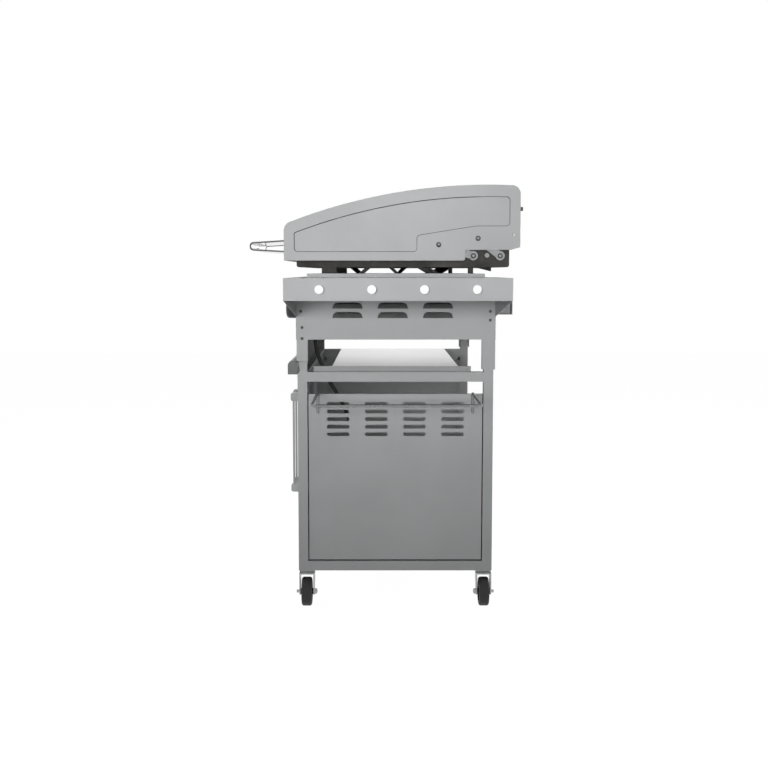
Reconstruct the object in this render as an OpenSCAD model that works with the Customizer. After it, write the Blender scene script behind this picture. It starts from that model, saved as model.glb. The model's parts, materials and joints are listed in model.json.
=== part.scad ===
// Outdoor gas griddle station: a cabinet cart on casters with two side shelves, a burner box,
// a steel griddle plate and a hood that swings back on two pairs of links.
// The origin lies on the floor under the middle of the station. +X is its right, +Y its rear.

/* [Cart frame] */
// Width over the legs
cart_w = 916; // [880:1:960]
// Depth over the legs
cart_d = 505.2; // [485:0.2:530]
// Side of the square leg and rail tubes
tube_w = 25; // [22:0.5:30]
// Wall of the leg and rail tubes
tube_t = 1.5; // [1.2:0.1:2]
// Height of the legs' feet above the floor
foot_z = 90; // [86:1:110]
// Height from the legs' feet to the top of the upper rails
cabinet_h = 522; // [480:1:560]
// Height of the front rail between the doors and the open bay
front_rail_h = 37; // [32:1:44]
// Thickness of the folded sheet parts
sheet_t = 1.2; // [1:0.1:1.6]
// Sheet thickness of the upper legs
upper_t = 1.6; // [1.4:0.1:2]
// How far the front upper legs reach below the burner box
upper_drop_front = 55; // [45:1:65]
// How far the rear upper legs reach below the burner box
upper_drop_rear = 77; // [60:1:80]
// Side play of the rear upper legs round the leg tubes
upper_play = 2.6; // [1.5:0.1:3.4]
// Height of the step where the side panel of the burner box covers the upper leg
cover_z = 59; // [40:1:70]

/* [Cabinet panels] */
// Height of the vented side panel
panel_h = 436.6; // [420:1:450]
// Height of the plain left side panel
left_panel_h = 466; // [455:1:467]
// Gap between a side panel and the frame round it
panel_gap = 2.5; // [2:0.1:4]
// Depth of the folded edges of a side panel
panel_fold = 12; // [10:1:20]
// How far a side panel lies behind the outer face of the legs
panel_recess = 6; // [3:0.5:8]
// Length of a vent slot
slot_l = 58.7; // [50:0.1:66]
// Height of a vent slot
slot_h = 9.9; // [8:0.1:12]
// Distance from slot to slot along a row
slot_pitch_y = 98.9; // [90:0.1:104]
// Distance from row to row of slots
slot_pitch_z = 19.8; // [17:0.1:22]
// Distance from the top of the panel to the first row
slot_top = 26; // [20:1:40]

/* [Doors] */
// Thickness of a door
door_t = 16; // [13:1:20]
// Gap between the doors, and below and above them
door_gap = 3; // [2.5:0.1:4]
// Radius of a hinge pin
pin_r = 3; // [2.5:0.1:4]
// Distance from the hinge pin to the door's front face
pin_front = 6.5; // [6:0.1:8]
// Distance from the hinge pin to the door's side edge
pin_side = 6; // [5.5:0.1:8]
// Clearance that a turning door leaves at the leg
door_clear = 1.5; // [1:0.1:3]
// Length of a door handle
door_handle_l = 293; // [240:1:330]
// How far a door handle stands out
door_handle_out = 50; // [42:1:56]
// Height of a handle's middle above the legs' feet
door_handle_z = 279.5; // [240:1:300]

/* [Burner box] */
// Height of the open bay below the burner box
bay_h = 84; // [80:1:100]
// Height of the burner box
box_h = 169; // [160:1:185]
// Height of the box rim above the shelves
rim_h = 9.5; // [6:0.5:12]
// Distance from the leg front to the inner front wall of the box
control_d = 70.5; // [66:0.5:80]
// Width of a louvre
louvre_w = 81; // [70:1:90]
// Height of a louvre
louvre_h = 16; // [12:0.5:18]
// Distance from louvre to louvre
louvre_pitch = 116; // [100:1:130]
// Distance between the two rows of louvres
louvre_rise = 24.3; // [20:0.1:28]
// Radius of a burner tube
burner_r = 14; // [11:0.5:17]
// Distance from burner to burner
burner_pitch = 224; // [190:1:226]
// Height of burners and knobs above the bottom of the box
knob_z = 78; // [70:1:90]
// Radius of a knob
knob_r = 27.5; // [22:0.5:32]
// Length of a knob
knob_l = 33; // [26:1:38]

/* [Side shelves] */
// Length of a side shelf
shelf_l = 389.2; // [340:1:400]
// Height of the folded edge at the end of a shelf
apron_h = 50.8; // [44:0.2:56]
// Height of the shelf bracket at the leg
bracket_h = 100.5; // [80:0.5:104]
// How far the shelf overhangs the leg at the rear
shelf_over = 4.5; // [3:0.5:8]
// Number of pegs on a shelf's end
peg_count = 4; // [2:1:5]
// Distance from peg to peg
peg_pitch = 117; // [90:1:120]
// Radius of a peg
peg_r = 10; // [7:0.5:12]
// How far a peg stands out
peg_l = 12; // [8:1:18]

/* [Griddle plate] */
// Width of the griddle plate
plate_w = 896; // [860:1:900]
// Depth of the griddle plate
plate_d = 545.2; // [530:1:552]
// Thickness of the cooking surface
plate_t = 6; // [5:0.5:8]
// Thickness of the plate's side walls
wall_t = 4; // [3:0.5:5]
// Height of the side walls at the rear
wall_h = 64; // [58:1:70]
// Height of the front wall
front_wall_h = 24; // [20:1:34]
// Gap between the box rim and the plate
plate_gap = 16; // [13:0.5:20]
// How far the plate starts behind the lid's front
plate_y = 31.5; // [24:0.5:36]
// Depth of the folded stiffeners below the plate
rib_h = 19; // [14:0.5:24]

/* [Hood] */
// Depth of the hood
lid_d = 603.4; // [590:1:615]
// Height of the hood's ends
lid_h = 191.7; // [180:1:210]
// Radius of the hood's curved top
lid_r = 1415; // [1300:5:1600]
// Distance from the highest line of the top to the rear of the hood
crown_back = 82; // [60:1:110]
// Radius of the fold between front and top
fold_front = 24; // [18:1:32]
// Radius of the fold between top and rear
fold_rear = 22; // [16:1:28]
// Thickness of the hood's sheet
lid_t = 1.5; // [1.2:0.1:2]
// Gap between the plate's bottom and the lower edge of the hood
lid_lift = 17; // [12:0.5:20]
// How far the hood's front stands in front of the legs
lid_over = 32.5; // [28:0.5:40]
// Length of the hood's handle
lid_handle_l = 418; // [340:1:480]
// How far the hood's handle reaches forward
lid_handle_out = 115.3; // [90:0.1:125]
// How far the bumpers on the rear of the hood stand out
bumper_l = 17.9; // [12:0.1:24]
// Depth of the field that is pressed into the hood's ends
press_h = 1.2; // [0.6:0.1:1.5]

/* [Hood links] */
// Thickness of a link
link_t = 4; // [3:0.5:5]
// Width of a link's arm
link_w = 19.6; // [16:0.2:21]
// Radius of the eyes at a link's ends
eye_r = 11.8; // [10.8:0.1:12.6]
// Radius of the pivot bolts
bolt_r = 4; // [3:0.1:4.6]
// Side play between a link and the sheets beside it
link_play = 2.5; // [2.2:0.1:4]
// Radius of the stop pin
stop_r = 5.9; // [4.5:0.1:6.4]

/* [Casters] */
// Diameter of a wheel
wheel_d = 75; // [68:1:80]
// Width of a wheel
wheel_w = 26.5; // [22:0.5:29]
// Thickness of the fork's plate
fork_t = 3; // [2.5:0.1:3.5]
// Side play of the wheel in its fork
wheel_play = 3.6; // [2:0.1:5]
// Distance from the swivel's axis to the axle
trail = 22; // [16:1:28]
// Radius of the swivel stem
stem_r = 4; // [3:0.1:5]
// Radius of the axle
axle_r = 4; // [3:0.1:5]

/* [Fittings] */
// Depth of the front tool rail
tool_rail_d = 25.5; // [18:0.5:32]
// Height of the front tool rail
tool_rail_h = 35.8; // [28:0.2:42]
// Radius of the wire of the bag frame
wire_r = 3.5; // [2.5:0.1:4.5]
// Width of the bag frame
bag_w = 400.6; // [340:0.2:420]
// How far the bag frame reaches out
bag_out = 290; // [220:1:330]
// Length of the grease cup
cup_l = 124; // [100:1:140]
// Height of the grease cup
cup_h = 78; // [60:1:84]
// Radius of the gas hose
hose_r = 5; // [4:0.1:5.6]

/* [Hidden] */

// How far a cut runs past a face
over = 1;
// Gap of a running fit, on the radius
fit = 0.05;
// Gap between a turning or loose part and its seat
seat = 0.3;
// Facets on round parts and steps on a fillet
$fn = 48;
fillet_steps = 5;

// Depths, measured from the middle of the whole station
overall_d = lid_handle_out + lid_d + bumper_l;
lid_y0 = lid_handle_out - overall_d / 2;
lid_y1 = lid_y0 + lid_d;
leg_y0 = lid_y0 + lid_over;
leg_y1 = leg_y0 + cart_d;
plate_y0 = lid_y0 + plate_y;
plate_y1 = plate_y0 + plate_d;

// Heights
rail_z = foot_z + tube_w;
cabinet_z = foot_z + cabinet_h;
front_rail_z = cabinet_z - front_rail_h;
box_z = cabinet_z + bay_h;
rim_z = box_z + box_h;
shelf_z = rim_z - rim_h;
plate_z = rim_z + plate_gap;
lid_z0 = plate_z + lid_lift;
lid_z1 = lid_z0 + lid_h;

// Widths
leg_x = cart_w / 2;
leg_in = leg_x - tube_w;
upper_x = leg_x + upper_t;
skin_x = upper_x + sheet_t;
plate_x = plate_w / 2;
link_x = plate_x + link_play;
lid_in = link_x + link_t + link_play;
lid_x = lid_in + lid_t;
shelf_x = skin_x + shelf_l;

// Burner box
box_y0 = leg_y0 + control_d;
box_y1 = leg_y1 - tube_w - upper_play - upper_t;
rim_y0 = leg_y0 + tube_w + 0.8 * sheet_t;
rim_y1 = leg_y1 - tube_w + sheet_t;
rim_fold = 16 * sheet_t;
panel_y0 = leg_y0 - upper_t;
knob_c = box_z + knob_z;
burner_xs = [-1.5, -0.5, 0.5, 1.5] * burner_pitch;

// Shelves
shelf_t = 1.5;
shelf_lead = 2;
shelf_y0 = leg_y0 - shelf_lead;
shelf_y1 = leg_y1 + shelf_over;

// Hood: the top is an arc about crown, and both folds are tangent to it
crown = [lid_y1 - crown_back, lid_z1 - lid_r];
notch_rise = 27.2;
notch_gap = 9.5;
tail_rise = 6.5;
tail_l = 23;
fold_gap = 1.5;
hook_hole = [18, 8.4];

// Hood linkage at rest: two fixed eyes on the plate and two eyes on the hood, as [y, z]
fixed_back = 24;
fixed_rise = 29.2;
fixed_gap = 68.5;
stop_back = 33.8;
stop_rise = 1;
eye_back = 57.3;
eye_rise = 44.2;
eye_gap = 100;
eye_drop = 16;
rear_fixed = [plate_y1 - fixed_back, plate_z + fixed_rise];
front_fixed = rear_fixed - [fixed_gap, 0];
stop_pin = rear_fixed + [-stop_back, stop_rise];
rear_eye = rear_fixed + [-eye_back, eye_rise];
front_eye = rear_eye - [eye_gap, eye_drop];

paint = "#b4b6b8";
steel = "#8f9193";
bright = "#d9dadb";
black = "#2b2c2d";
brass = "#b99a55";

function unit(v) = v / norm(v);
function arc(c, r, a0, a1, n) =
    [for (i = [0:n]) let(a = a0 + (a1 - a0) * i / n) c + r * [cos(a), sin(a)]];
// Round corner b, between its neighbours a and c
function fillet(a, b, c, r) =
    let(u = unit(a - b), v = unit(c - b), half = acos(u * v) / 2,
        m = b + unit(u + v) * r / sin(half),
        p = b + u * r / tan(half) - m,
        q = b + v * r / tan(half) - m,
        a0 = atan2(p.y, p.x),
        turn = (atan2(q.y, q.x) - a0 + 540) % 360 - 180)
    arc(m, r, a0, a0 + turn, fillet_steps);
// Outline with one radius per corner, and zero where the corner stays sharp
function rounded(pts, radii) =
    let(n = len(pts))
    [for (i = [0:n - 1]) each radii[i] > 0
        ? fillet(pts[(i + n - 1) % n], pts[i], pts[(i + 1) % n], radii[i])
        : [pts[i]]];
function reversed(pts) = [for (i = [len(pts) - 1:-1:0]) pts[i]];

// Box between two corners
module block(lo, hi) { translate(lo) cube(hi - lo); }
// Outline in [y, z], pulled along X
module along_x(x0, x1) { translate([x0, 0, 0]) rotate([90, 0, 90]) linear_extrude(x1 - x0) children(); }
// Outline in [x, z], pulled along Y
module along_y(y0, y1) { translate([0, y1, 0]) rotate([90, 0, 0]) linear_extrude(y1 - y0) children(); }
// Round bars between two places on one axis
module rod_x(x0, x1, yz, r) { translate([x0, yz[0], yz[1]]) rotate([0, 90, 0]) cylinder(r = r, h = x1 - x0); }
module rod_y(y0, y1, xz, r) { translate([xz[0], y1, xz[1]]) rotate([90, 0, 0]) cylinder(r = r, h = y1 - y0); }
module rod_z(z0, z1, xy, r) { translate([xy[0], xy[1], z0]) cylinder(r = r, h = z1 - z0); }
// A right-hand piece on the side that is asked for, 1 for right and -1 for left
module on_side(side) { mirror([side < 0 ? 1 : 0, 0, 0]) children(); }
module both_sides() { on_side(1) children(); on_side(-1) children(); }
module square_tube(lo, hi, axis, t) {
    inset = [for (i = [0:2]) i == axis ? -over : t];
    difference() {
        block(lo, hi);
        block(lo + inset, hi - inset);
    }
}

// Legs
mitre_drop = 89;
leg_top = box_z + tube_t;
module leg(side, rear) {
    y0 = rear ? leg_y1 - tube_w : leg_y0;
    mitre_z = box_z - mitre_drop;
    on_side(side) color(paint) difference() {
        square_tube([leg_in, y0, foot_z], [leg_x, y0 + tube_w, leg_top], 2, tube_t);
        if (!rear) along_x(leg_x - tube_w / 2, leg_x + over) polygon([
            [y0 - over, mitre_z - over],
            [y0 + tube_w + over, mitre_z + tube_w + over],
            [y0 + tube_w + over, leg_top + over],
            [y0 - over, leg_top + over]]);
    }
}
upper_top = shelf_z - 4 * shelf_t;
module upper_leg(rear) {
    y0 = rear ? leg_y1 - tube_w - upper_play : leg_y0;
    y1 = rear ? leg_y1 + upper_play : leg_y0 + tube_w;
    z0 = box_z - (rear ? upper_drop_rear : upper_drop_front);
    difference() {
        block([leg_in, y0 - upper_t, z0], [upper_x, y1 + upper_t, upper_top]);
        block([leg_in - over, y0, z0 - over], [leg_x, y1, upper_top + over]);
    }
}
module upper_legs() {
    color(paint) both_sides() {
        upper_leg(false);
        upper_leg(true);
    }
}

// Rails
module side_rails() {
    color(paint) both_sides() for (z = [foot_z, cabinet_z - tube_w])
        square_tube([leg_in, leg_y0 + tube_w, z], [leg_x, leg_y1 - tube_w, z + tube_w], 1, tube_t);
}
module cross_rails() {
    color(paint) {
        square_tube([-leg_in, leg_y0, foot_z], [leg_in, leg_y0 + tube_w, rail_z], 0, tube_t);
        square_tube([-leg_in, leg_y0, front_rail_z], [leg_in, leg_y0 + tube_w, cabinet_z], 0, tube_t);
        square_tube([-leg_in, leg_y1 - tube_w, foot_z], [leg_in, leg_y1, rail_z], 0, tube_t);
    }
}

// Side panels: folded pans with tabs that reach the legs
panel_x = leg_x - panel_recess;
side_y0 = leg_y0 + tube_w + panel_gap;
side_y1 = leg_y1 - tube_w - panel_gap;
side_mid = (side_y0 + side_y1) / 2;
side_z = rail_z + door_gap;
tab_h = 30;
slot_cols = 4;
slot_rows = 5;
module side_pan(h) {
    difference() {
        block([panel_x - panel_fold, side_y0, side_z], [panel_x, side_y1, side_z + h]);
        block([panel_x - panel_fold - over, side_y0 + sheet_t, side_z + sheet_t],
            [panel_x - sheet_t, side_y1 - sheet_t, side_z + h - sheet_t]);
    }
    for (y = [leg_y0 + tube_w, side_y1], z = [side_z + tab_h, side_z + h - 2 * tab_h])
        block([panel_x - panel_fold, y, z], [panel_x - panel_fold + sheet_t, y + panel_gap, z + tab_h]);
}
module side_panel_right() {
    color(paint) difference() {
        side_pan(panel_h);
        for (i = [0:slot_cols - 1], j = [0:slot_rows - 1])
            vent_slot(side_mid + (i - (slot_cols - 1) / 2) * slot_pitch_y,
                side_z + panel_h - slot_top - j * slot_pitch_z);
        for (y = bag_ys) rod_x(panel_x - panel_fold, panel_x + over, [y, bag_foot_z], wire_r + seat);
    }
}
module side_panel_left() { color(paint) on_side(-1) side_pan(left_panel_h); }
module vent_slot(y, z) {
    r = slot_h / 2;
    half = slot_l / 2 - r;
    x0 = panel_x - sheet_t - over;
    block([x0, y - half, z - r], [panel_x + over, y + half, z + r]);
    for (s = [-1, 1]) rod_x(x0, panel_x + over, [y + s * half, z], r);
}

// Floor of the cabinet, lying on the lower rails, with a raised field that a gas cylinder stands
// on and a lower strip on the right for the regulator
floor_lip = 12;
floor_z = rail_z + sheet_t;
field_h = 3;
field_gap = 22;
module bottom_shelf() {
    x = panel_x - panel_fold - seat;
    y0 = leg_y0 + tube_w;
    y1 = leg_y1 - tube_w;
    field_x1 = reg_end_x - field_gap;
    color(paint) {
        difference() {
            union() {
                block([-x, y0, rail_z], [x, y1, floor_z]);
                block([field_gap - x, y0 + field_gap, rail_z], [field_x1, y1 - field_gap, floor_z + field_h]);
            }
            block([field_gap + sheet_t - x, y0 + field_gap + sheet_t, rail_z - over],
                [field_x1 - sheet_t, y1 - field_gap - sheet_t, floor_z + field_h - sheet_t]);
        }
        for (y = [y0, y1 - sheet_t])
            block([-leg_in, y, rail_z - floor_lip], [leg_in, y + sheet_t, rail_z]);
    }
}

// Heat shield: a sheet across the upper rails, its long edges folded down between them and its
// right end turned up, with an ear beyond each edge
shield_front = 81.8;
shield_back = 79.4;
shield_fold = 11;
shield_lip = 14.5;
ear_front = 41;
ear_rear = 22.5;
module heat_shield() {
    x = leg_in + tube_w / 2;
    y0 = leg_y0 + shield_front;
    y1 = leg_y1 - shield_back;
    top = cabinet_z + sheet_t;
    color("#c4c7c8") {
        block([-x, y0, cabinet_z], [x, y1, top]);
        for (y = [y0, y1 - sheet_t])
            block([seat - leg_in, y, cabinet_z - shield_fold], [leg_in - seat, y + sheet_t, top]);
        block([x - sheet_t, y0 - ear_front, cabinet_z], [x, y1 + ear_rear, cabinet_z + shield_lip]);
    }
}

// Sheet between the front rail and the control panel
fascia_recess = 6;
fascia_lip = 14;
module front_fascia() {
    y = leg_y0 + fascia_recess;
    color(paint) {
        block([-leg_in, y, cabinet_z], [leg_in, y + sheet_t, box_z]);
        block([-leg_in, y, cabinet_z], [leg_in, y + fascia_lip, cabinet_z + sheet_t]);
    }
}

// Tool rail: a hollow bar with a round top, fixed to the front legs
tool_rail_drop = 6.7;
module tool_rail_outline(t) {
    r = tool_rail_d / 2;
    z = cabinet_z - tool_rail_drop;
    translate([leg_y0 - r, z + tool_rail_h - r]) circle(r = r - t);
    translate([leg_y0 - tool_rail_d + t, z + t]) square([tool_rail_d - 2 * t, tool_rail_h - r - t]);
}
module tool_rail() {
    x = leg_x - panel_recess;
    color(steel) difference() {
        along_x(-x, x) tool_rail_outline(0);
        along_x(tube_t - x, x - tube_t) tool_rail_outline(tube_t);
    }
}
// Wire loops on the front rail, below the tool rail
loop_r = 15.6;
loop_wire = 1.6;
loop_out = 7;
loop_count = 5;
module tool_loops() {
    pitch = 2 * leg_in / loop_count;
    rise = sqrt(pow(loop_r + loop_wire, 2) - pow(loop_r - loop_out, 2));
    z = cabinet_z - tool_rail_drop - seat - rise;
    color(bright) for (i = [0:loop_count - 1]) difference() {
        translate([(i - (loop_count - 1) / 2) * pitch, leg_y0 - loop_out + loop_r, z])
            rotate([0, 90, 0]) rotate_extrude() translate([loop_r, 0]) circle(r = loop_wire);
        block([-leg_in, leg_y0, z - tube_w], [leg_in, leg_y0 + 2 * tube_w, z + tube_w]);
    }
}

// Burner box
louvre_fillet = 6;
louvre_lean = 6;
louvre_low = 54.7;
louvre_depth = 11;
louvre_cols = 3;
louvre_shift = 7;
louvre_mid = (leg_y0 + leg_y1) / 2 - louvre_shift;
side_outline = [
    [leg_y0 + tube_w, box_z], [leg_y1 + shelf_over, box_z], [leg_y1 + shelf_over, shelf_z],
    [rim_y1, shelf_z], [rim_y1, rim_z], [rim_y0, rim_z], [rim_y0, shelf_z],
    [panel_y0, shelf_z], [panel_y0, box_z + cover_z], [leg_y0 + tube_w, box_z + cover_z]];
louvre_outline = let(w = louvre_w / 2) rounded(
    [[-w, 0], [w, 0], [w - louvre_lean, louvre_h], [louvre_lean - w, louvre_h]],
    [0, 0, louvre_fillet, louvre_fillet]);
module firebox_side() {
    color(paint) {
        difference() {
            along_x(upper_x, skin_x) polygon(side_outline);
            for (place = louvre_places)
                along_x(upper_x - over, skin_x + over) translate(place) polygon(louvre_outline);
        }
        for (place = louvre_places)
            along_y(place[0] - louvre_w / 2, place[0] + louvre_w / 2) polygon([
                [skin_x, place[1]],
                [skin_x - louvre_depth, place[1] + louvre_depth],
                [skin_x - louvre_depth - sheet_t, place[1] + louvre_depth],
                [upper_x, place[1]]]);
        block([upper_x - rim_fold, box_y0 + sheet_t, rim_z - sheet_t], [upper_x, box_y1 - rim_fold, rim_z]);
    }
}
louvre_places = [for (i = [0:louvre_cols - 1], j = [0, 1])
    [louvre_mid + (i - (louvre_cols - 1) / 2) * louvre_pitch, box_z + louvre_low + j * louvre_rise]];
module firebox_walls() {
    stud_hole = stud_r + seat;
    color(paint) {
        difference() {
            block([-upper_x, box_y0, box_z + rim_fold], [upper_x, box_y0 + sheet_t, rim_z]);
            for (x = burner_xs) rod_y(box_y0 - over, box_y0 + over + sheet_t, [x, knob_c], burner_r + seat);
        }
        block([-upper_x, rim_y0, rim_z - sheet_t], [upper_x, box_y0, rim_z]);
        block([-upper_x, rim_y0, shelf_z], [upper_x, rim_y0 + sheet_t, rim_z - sheet_t]);
        difference() {
            block([-upper_x, box_y1 - sheet_t, box_z], [upper_x, box_y1, rim_z]);
            for (x = burner_xs) rod_y(box_y1 - sheet_t - over, box_y1 + over, [x, knob_c], stud_hole);
        }
        block([-upper_x, box_y1 - rim_fold, rim_z - sheet_t], [upper_x, box_y1 - sheet_t, rim_z]);
    }
}
module control_panel() {
    flange = 1.5 * rim_fold;
    color(paint) {
        difference() {
            block([-skin_x, panel_y0 - sheet_t, box_z], [skin_x, panel_y0, shelf_z]);
            for (x = burner_xs) rod_y(panel_y0 - 2 * over, panel_y0 + over, [x, knob_c], stud_r + seat);
            rod_y(panel_y0 - 2 * over, panel_y0 + over, [0, knob_c], button_stem_r + seat);
        }
        block([-upper_x, panel_y0, shelf_z - sheet_t], [upper_x, rim_y0 + sheet_t, shelf_z]);
        block([-leg_in, panel_y0, box_z], [leg_in, panel_y0 + flange, box_z + sheet_t]);
    }
}

// Gas train
stud_r = 4;
burner_t = 1.6;
burner_mouth = 12;
port_h = 1.6;
module burner(x) {
    y0 = box_y0 - burner_mouth;
    y1 = box_y1 - rim_fold;
    difference() {
        union() {
            rod_y(y0, y1, [x, knob_c], burner_r);
            rod_y(y1, box_y1, [x, knob_c], stud_r);
        }
        rod_y(y0 - over, y1 - burner_t, [x, knob_c], burner_r - burner_t);
        block([x - burner_r - over, y0 + 3 * burner_mouth, knob_c - port_h / 2],
            [x + burner_r + over, y1 - burner_mouth, knob_c + port_h / 2]);
    }
}
module burners() { color(steel) for (x = burner_xs) burner(x); }

pipe_r = 9.5;
valve_r = 11;
pipe_back = 44;
pipe_y = panel_y0 + pipe_back;
pipe_z = knob_c - valve_r - pipe_r;
elbow_in = 48;
elbow_x = leg_in - elbow_in;
nipple_l = 20;
nipple_r = hose_r + 2;
module gas_manifold() {
    end = burner_xs[0] - 2 * pipe_r;
    elbow = pipe_r + tube_t;
    color(steel) {
        rod_x(end, elbow_x - elbow, [pipe_y, pipe_z], pipe_r);
        block([elbow_x - elbow, pipe_y - elbow, pipe_z - elbow],
            [elbow_x + elbow, pipe_y + elbow, pipe_z + elbow]);
        rod_z(pipe_z - elbow - nipple_l, pipe_z - elbow, [elbow_x, pipe_y], nipple_r);
    }
}
hose_z = pipe_z - pipe_r - tube_t - nipple_l;
module gas_valves() {
    y1 = pipe_y + valve_r;
    color(brass) for (x = burner_xs) difference() {
        union() {
            block([x - valve_r, panel_y0, knob_c - valve_r], [x + valve_r, y1, knob_c + valve_r]);
            rod_y(y1, box_y0 - burner_mouth + stud_r, [x, knob_c], stud_r);
        }
        rod_y(panel_y0 - over, panel_y0 + 2 * valve_r, [x, knob_c], stud_r + fit);
    }
}
button_r = 10;
button_stem_r = 5;
button_travel = 4;
module igniter_module() {
    r = button_r + burner_t;
    color(black) difference() {
        rod_y(panel_y0, panel_y0 + 2 * r, [0, knob_c], r);
        rod_y(panel_y0 - over, panel_y0 + 2 * r - burner_t, [0, knob_c], button_stem_r + 2 * seat);
    }
}
module igniter_button() {
    face = panel_y0 - sheet_t - button_travel - seat;
    cap = button_r * 0.55;
    color(black) translate([0, face, knob_c]) rotate([90, 0, 0]) rotate_extrude() polygon([
        [0, -1.6 * button_r], [button_stem_r, -1.6 * button_r], [button_stem_r, 0], [button_r, 0],
        [button_r, cap * 0.6], [button_r * 0.85, cap], [0, cap]]);
}
grip_flutes = 16;
module knob(i) {
    x = burner_xs[i - 1];
    y0 = panel_y0 - sheet_t - seat;
    ring = 0.3 * knob_l;
    stem = panel_y0 + 1.5 * valve_r;
    color(black) difference() {
        translate([x, y0, knob_c]) rotate([90, 0, 0]) rotate_extrude() polygon(rounded([
            [0, 0], [knob_r, 0], [knob_r, knob_l - ring], [knob_r, knob_l], [0, knob_l]],
            [0, sheet_t, 0, 0.8 * ring, 0]));
        for (k = [1:grip_flutes]) rotate_about([x, knob_c], k * 360 / grip_flutes)
            rod_y(y0 - knob_l + ring, y0 - 0.15 * knob_l, [x + knob_r * 1.03, knob_c], knob_r * 0.09);
    }
    color(steel) rod_y(y0, stem, [x, knob_c], stud_r);
}
module rotate_about(xz, a) {
    translate([xz[0], 0, xz[1]]) rotate([0, a, 0]) translate([-xz[0], 0, -xz[1]]) children();
}

// Gas hose: it drops behind the control panel and lies on the cabinet's floor
hose_route = [
    [385, -178, 722.5], [385, -178, 706], [385, -178, 690], [385, -174, 662], [384, -165, 634],
    [383, -153, 604], [382, -137, 574], [381, -118, 542], [380, -98, 500], [380, -80, 452],
    [380, -66, 396], [380, -56, 336], [380, -50, 276], [380, -44, 222], [380, -34, 178],
    [380, -16, 146], [379, 12, 126], [378, 50, 121.6], [376, 95, 121.6], [370, 135, 121.6],
    [356, 165, 123], [338, 180, 127], [318, 187, 133], [300, 188, 137], [287, 188, 138],
    [274, 188, 138]];
hose_end = hose_route[len(hose_route) - 1];
hose_sides = 10;
hose_steps = 2;
function spline(a, b, c, d, t) = 0.5 * (2 * b + (c - a) * t + (2 * a - 5 * b + 4 * c - d) * t * t
    + (3 * b - a - 3 * c + d) * t * t * t);
function route_point(pts, i, t) = let(n = len(pts) - 1)
    spline(pts[max(i - 1, 0)], pts[i], pts[min(i + 1, n)], pts[min(i + 2, n)], t);
function route_line(pts, steps) = [for (i = [0:len(pts) - 2], k = [0:steps - 1])
    route_point(pts, i, k / steps), pts[len(pts) - 1]];
function route_dir(line, i) = let(n = len(line) - 1)
    unit(line[min(i + 1, n)] - line[max(i - 1, 0)]);
// Sideways direction at each ring, carried along without twist
function carried(line, i, v) = let(t = route_dir(line, i), w = unit(v - (v * t) * t))
    i == len(line) - 1 ? [w] : concat([w], carried(line, i + 1, w));
function ring_points(line, r, sides) = let(ws = carried(line, 0, [0, 1, 0]))
    [for (i = [0:len(line) - 1], k = [0:sides - 1])
        let(u = cross(route_dir(line, i), ws[i]), a = 360 * k / sides)
        line[i] + r * (cos(a) * ws[i] + sin(a) * u)];
function tube_faces(rings, sides) = concat(
    [[for (k = [0:sides - 1]) k]],
    [for (i = [0:rings - 2], k = [0:sides - 1]) let(a = i * sides + k, b = i * sides + (k + 1) % sides)
        each [[a, b + sides, b], [a, a + sides, b + sides]]],
    [[for (k = [sides - 1:-1:0]) (rings - 1) * sides + k]]);
module gas_hose() {
    line = route_line(hose_route, hose_steps);
    color(black) polyhedron(ring_points(line, hose_r, hose_sides), tube_faces(len(line), hose_sides));
}

// Regulator and the coupling nut for the cylinder, at the hose's end
reg_r = 30;
reg_neck_r = 7;
reg_neck_l = 15;
reg_x = hose_end.x - 0.9 * reg_r - reg_neck_l;
reg_y = hose_end.y;
reg_z = hose_end.z;
nut_r = 21;
nut_l = 38;
reg_end_x = reg_x - 1.6 * reg_r - nut_l;
nut_flutes = 10;
module regulator() {
    low = floor_z - reg_z + seat;
    color("#9a9da0") {
        translate([reg_x, reg_y, reg_z]) rotate_extrude() polygon([
            [0, low], [0.6 * reg_r, low], [0.75 * reg_r, -0.4 * reg_r], [reg_r, -0.3 * reg_r],
            [reg_r, 0.3 * reg_r], [0.8 * reg_r, 0.4 * reg_r], [0.75 * reg_r, 0.8 * reg_r],
            [0.35 * reg_r, reg_r], [0, reg_r]]);
        rod_x(reg_x + 0.9 * reg_r, hose_end.x, [reg_y, reg_z], reg_neck_r);
        rod_x(reg_x - 1.6 * reg_r, reg_x - 0.9 * reg_r, [reg_y, reg_z], reg_neck_r);
    }
    color(black) difference() {
        rod_x(reg_end_x, reg_x - 1.6 * reg_r, [reg_y, reg_z], nut_r);
        rod_x(reg_end_x - over, reg_end_x + nut_l / 2,
            [reg_y, reg_z], 0.7 * nut_r);
        for (k = [0:nut_flutes - 1]) let(a = 360 * k / nut_flutes)
            rod_x(reg_end_x - over, reg_end_x + 0.8 * nut_l,
                [reg_y + 1.05 * nut_r * cos(a), reg_z + 1.05 * nut_r * sin(a)], 0.12 * nut_r);
    }
}

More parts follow.
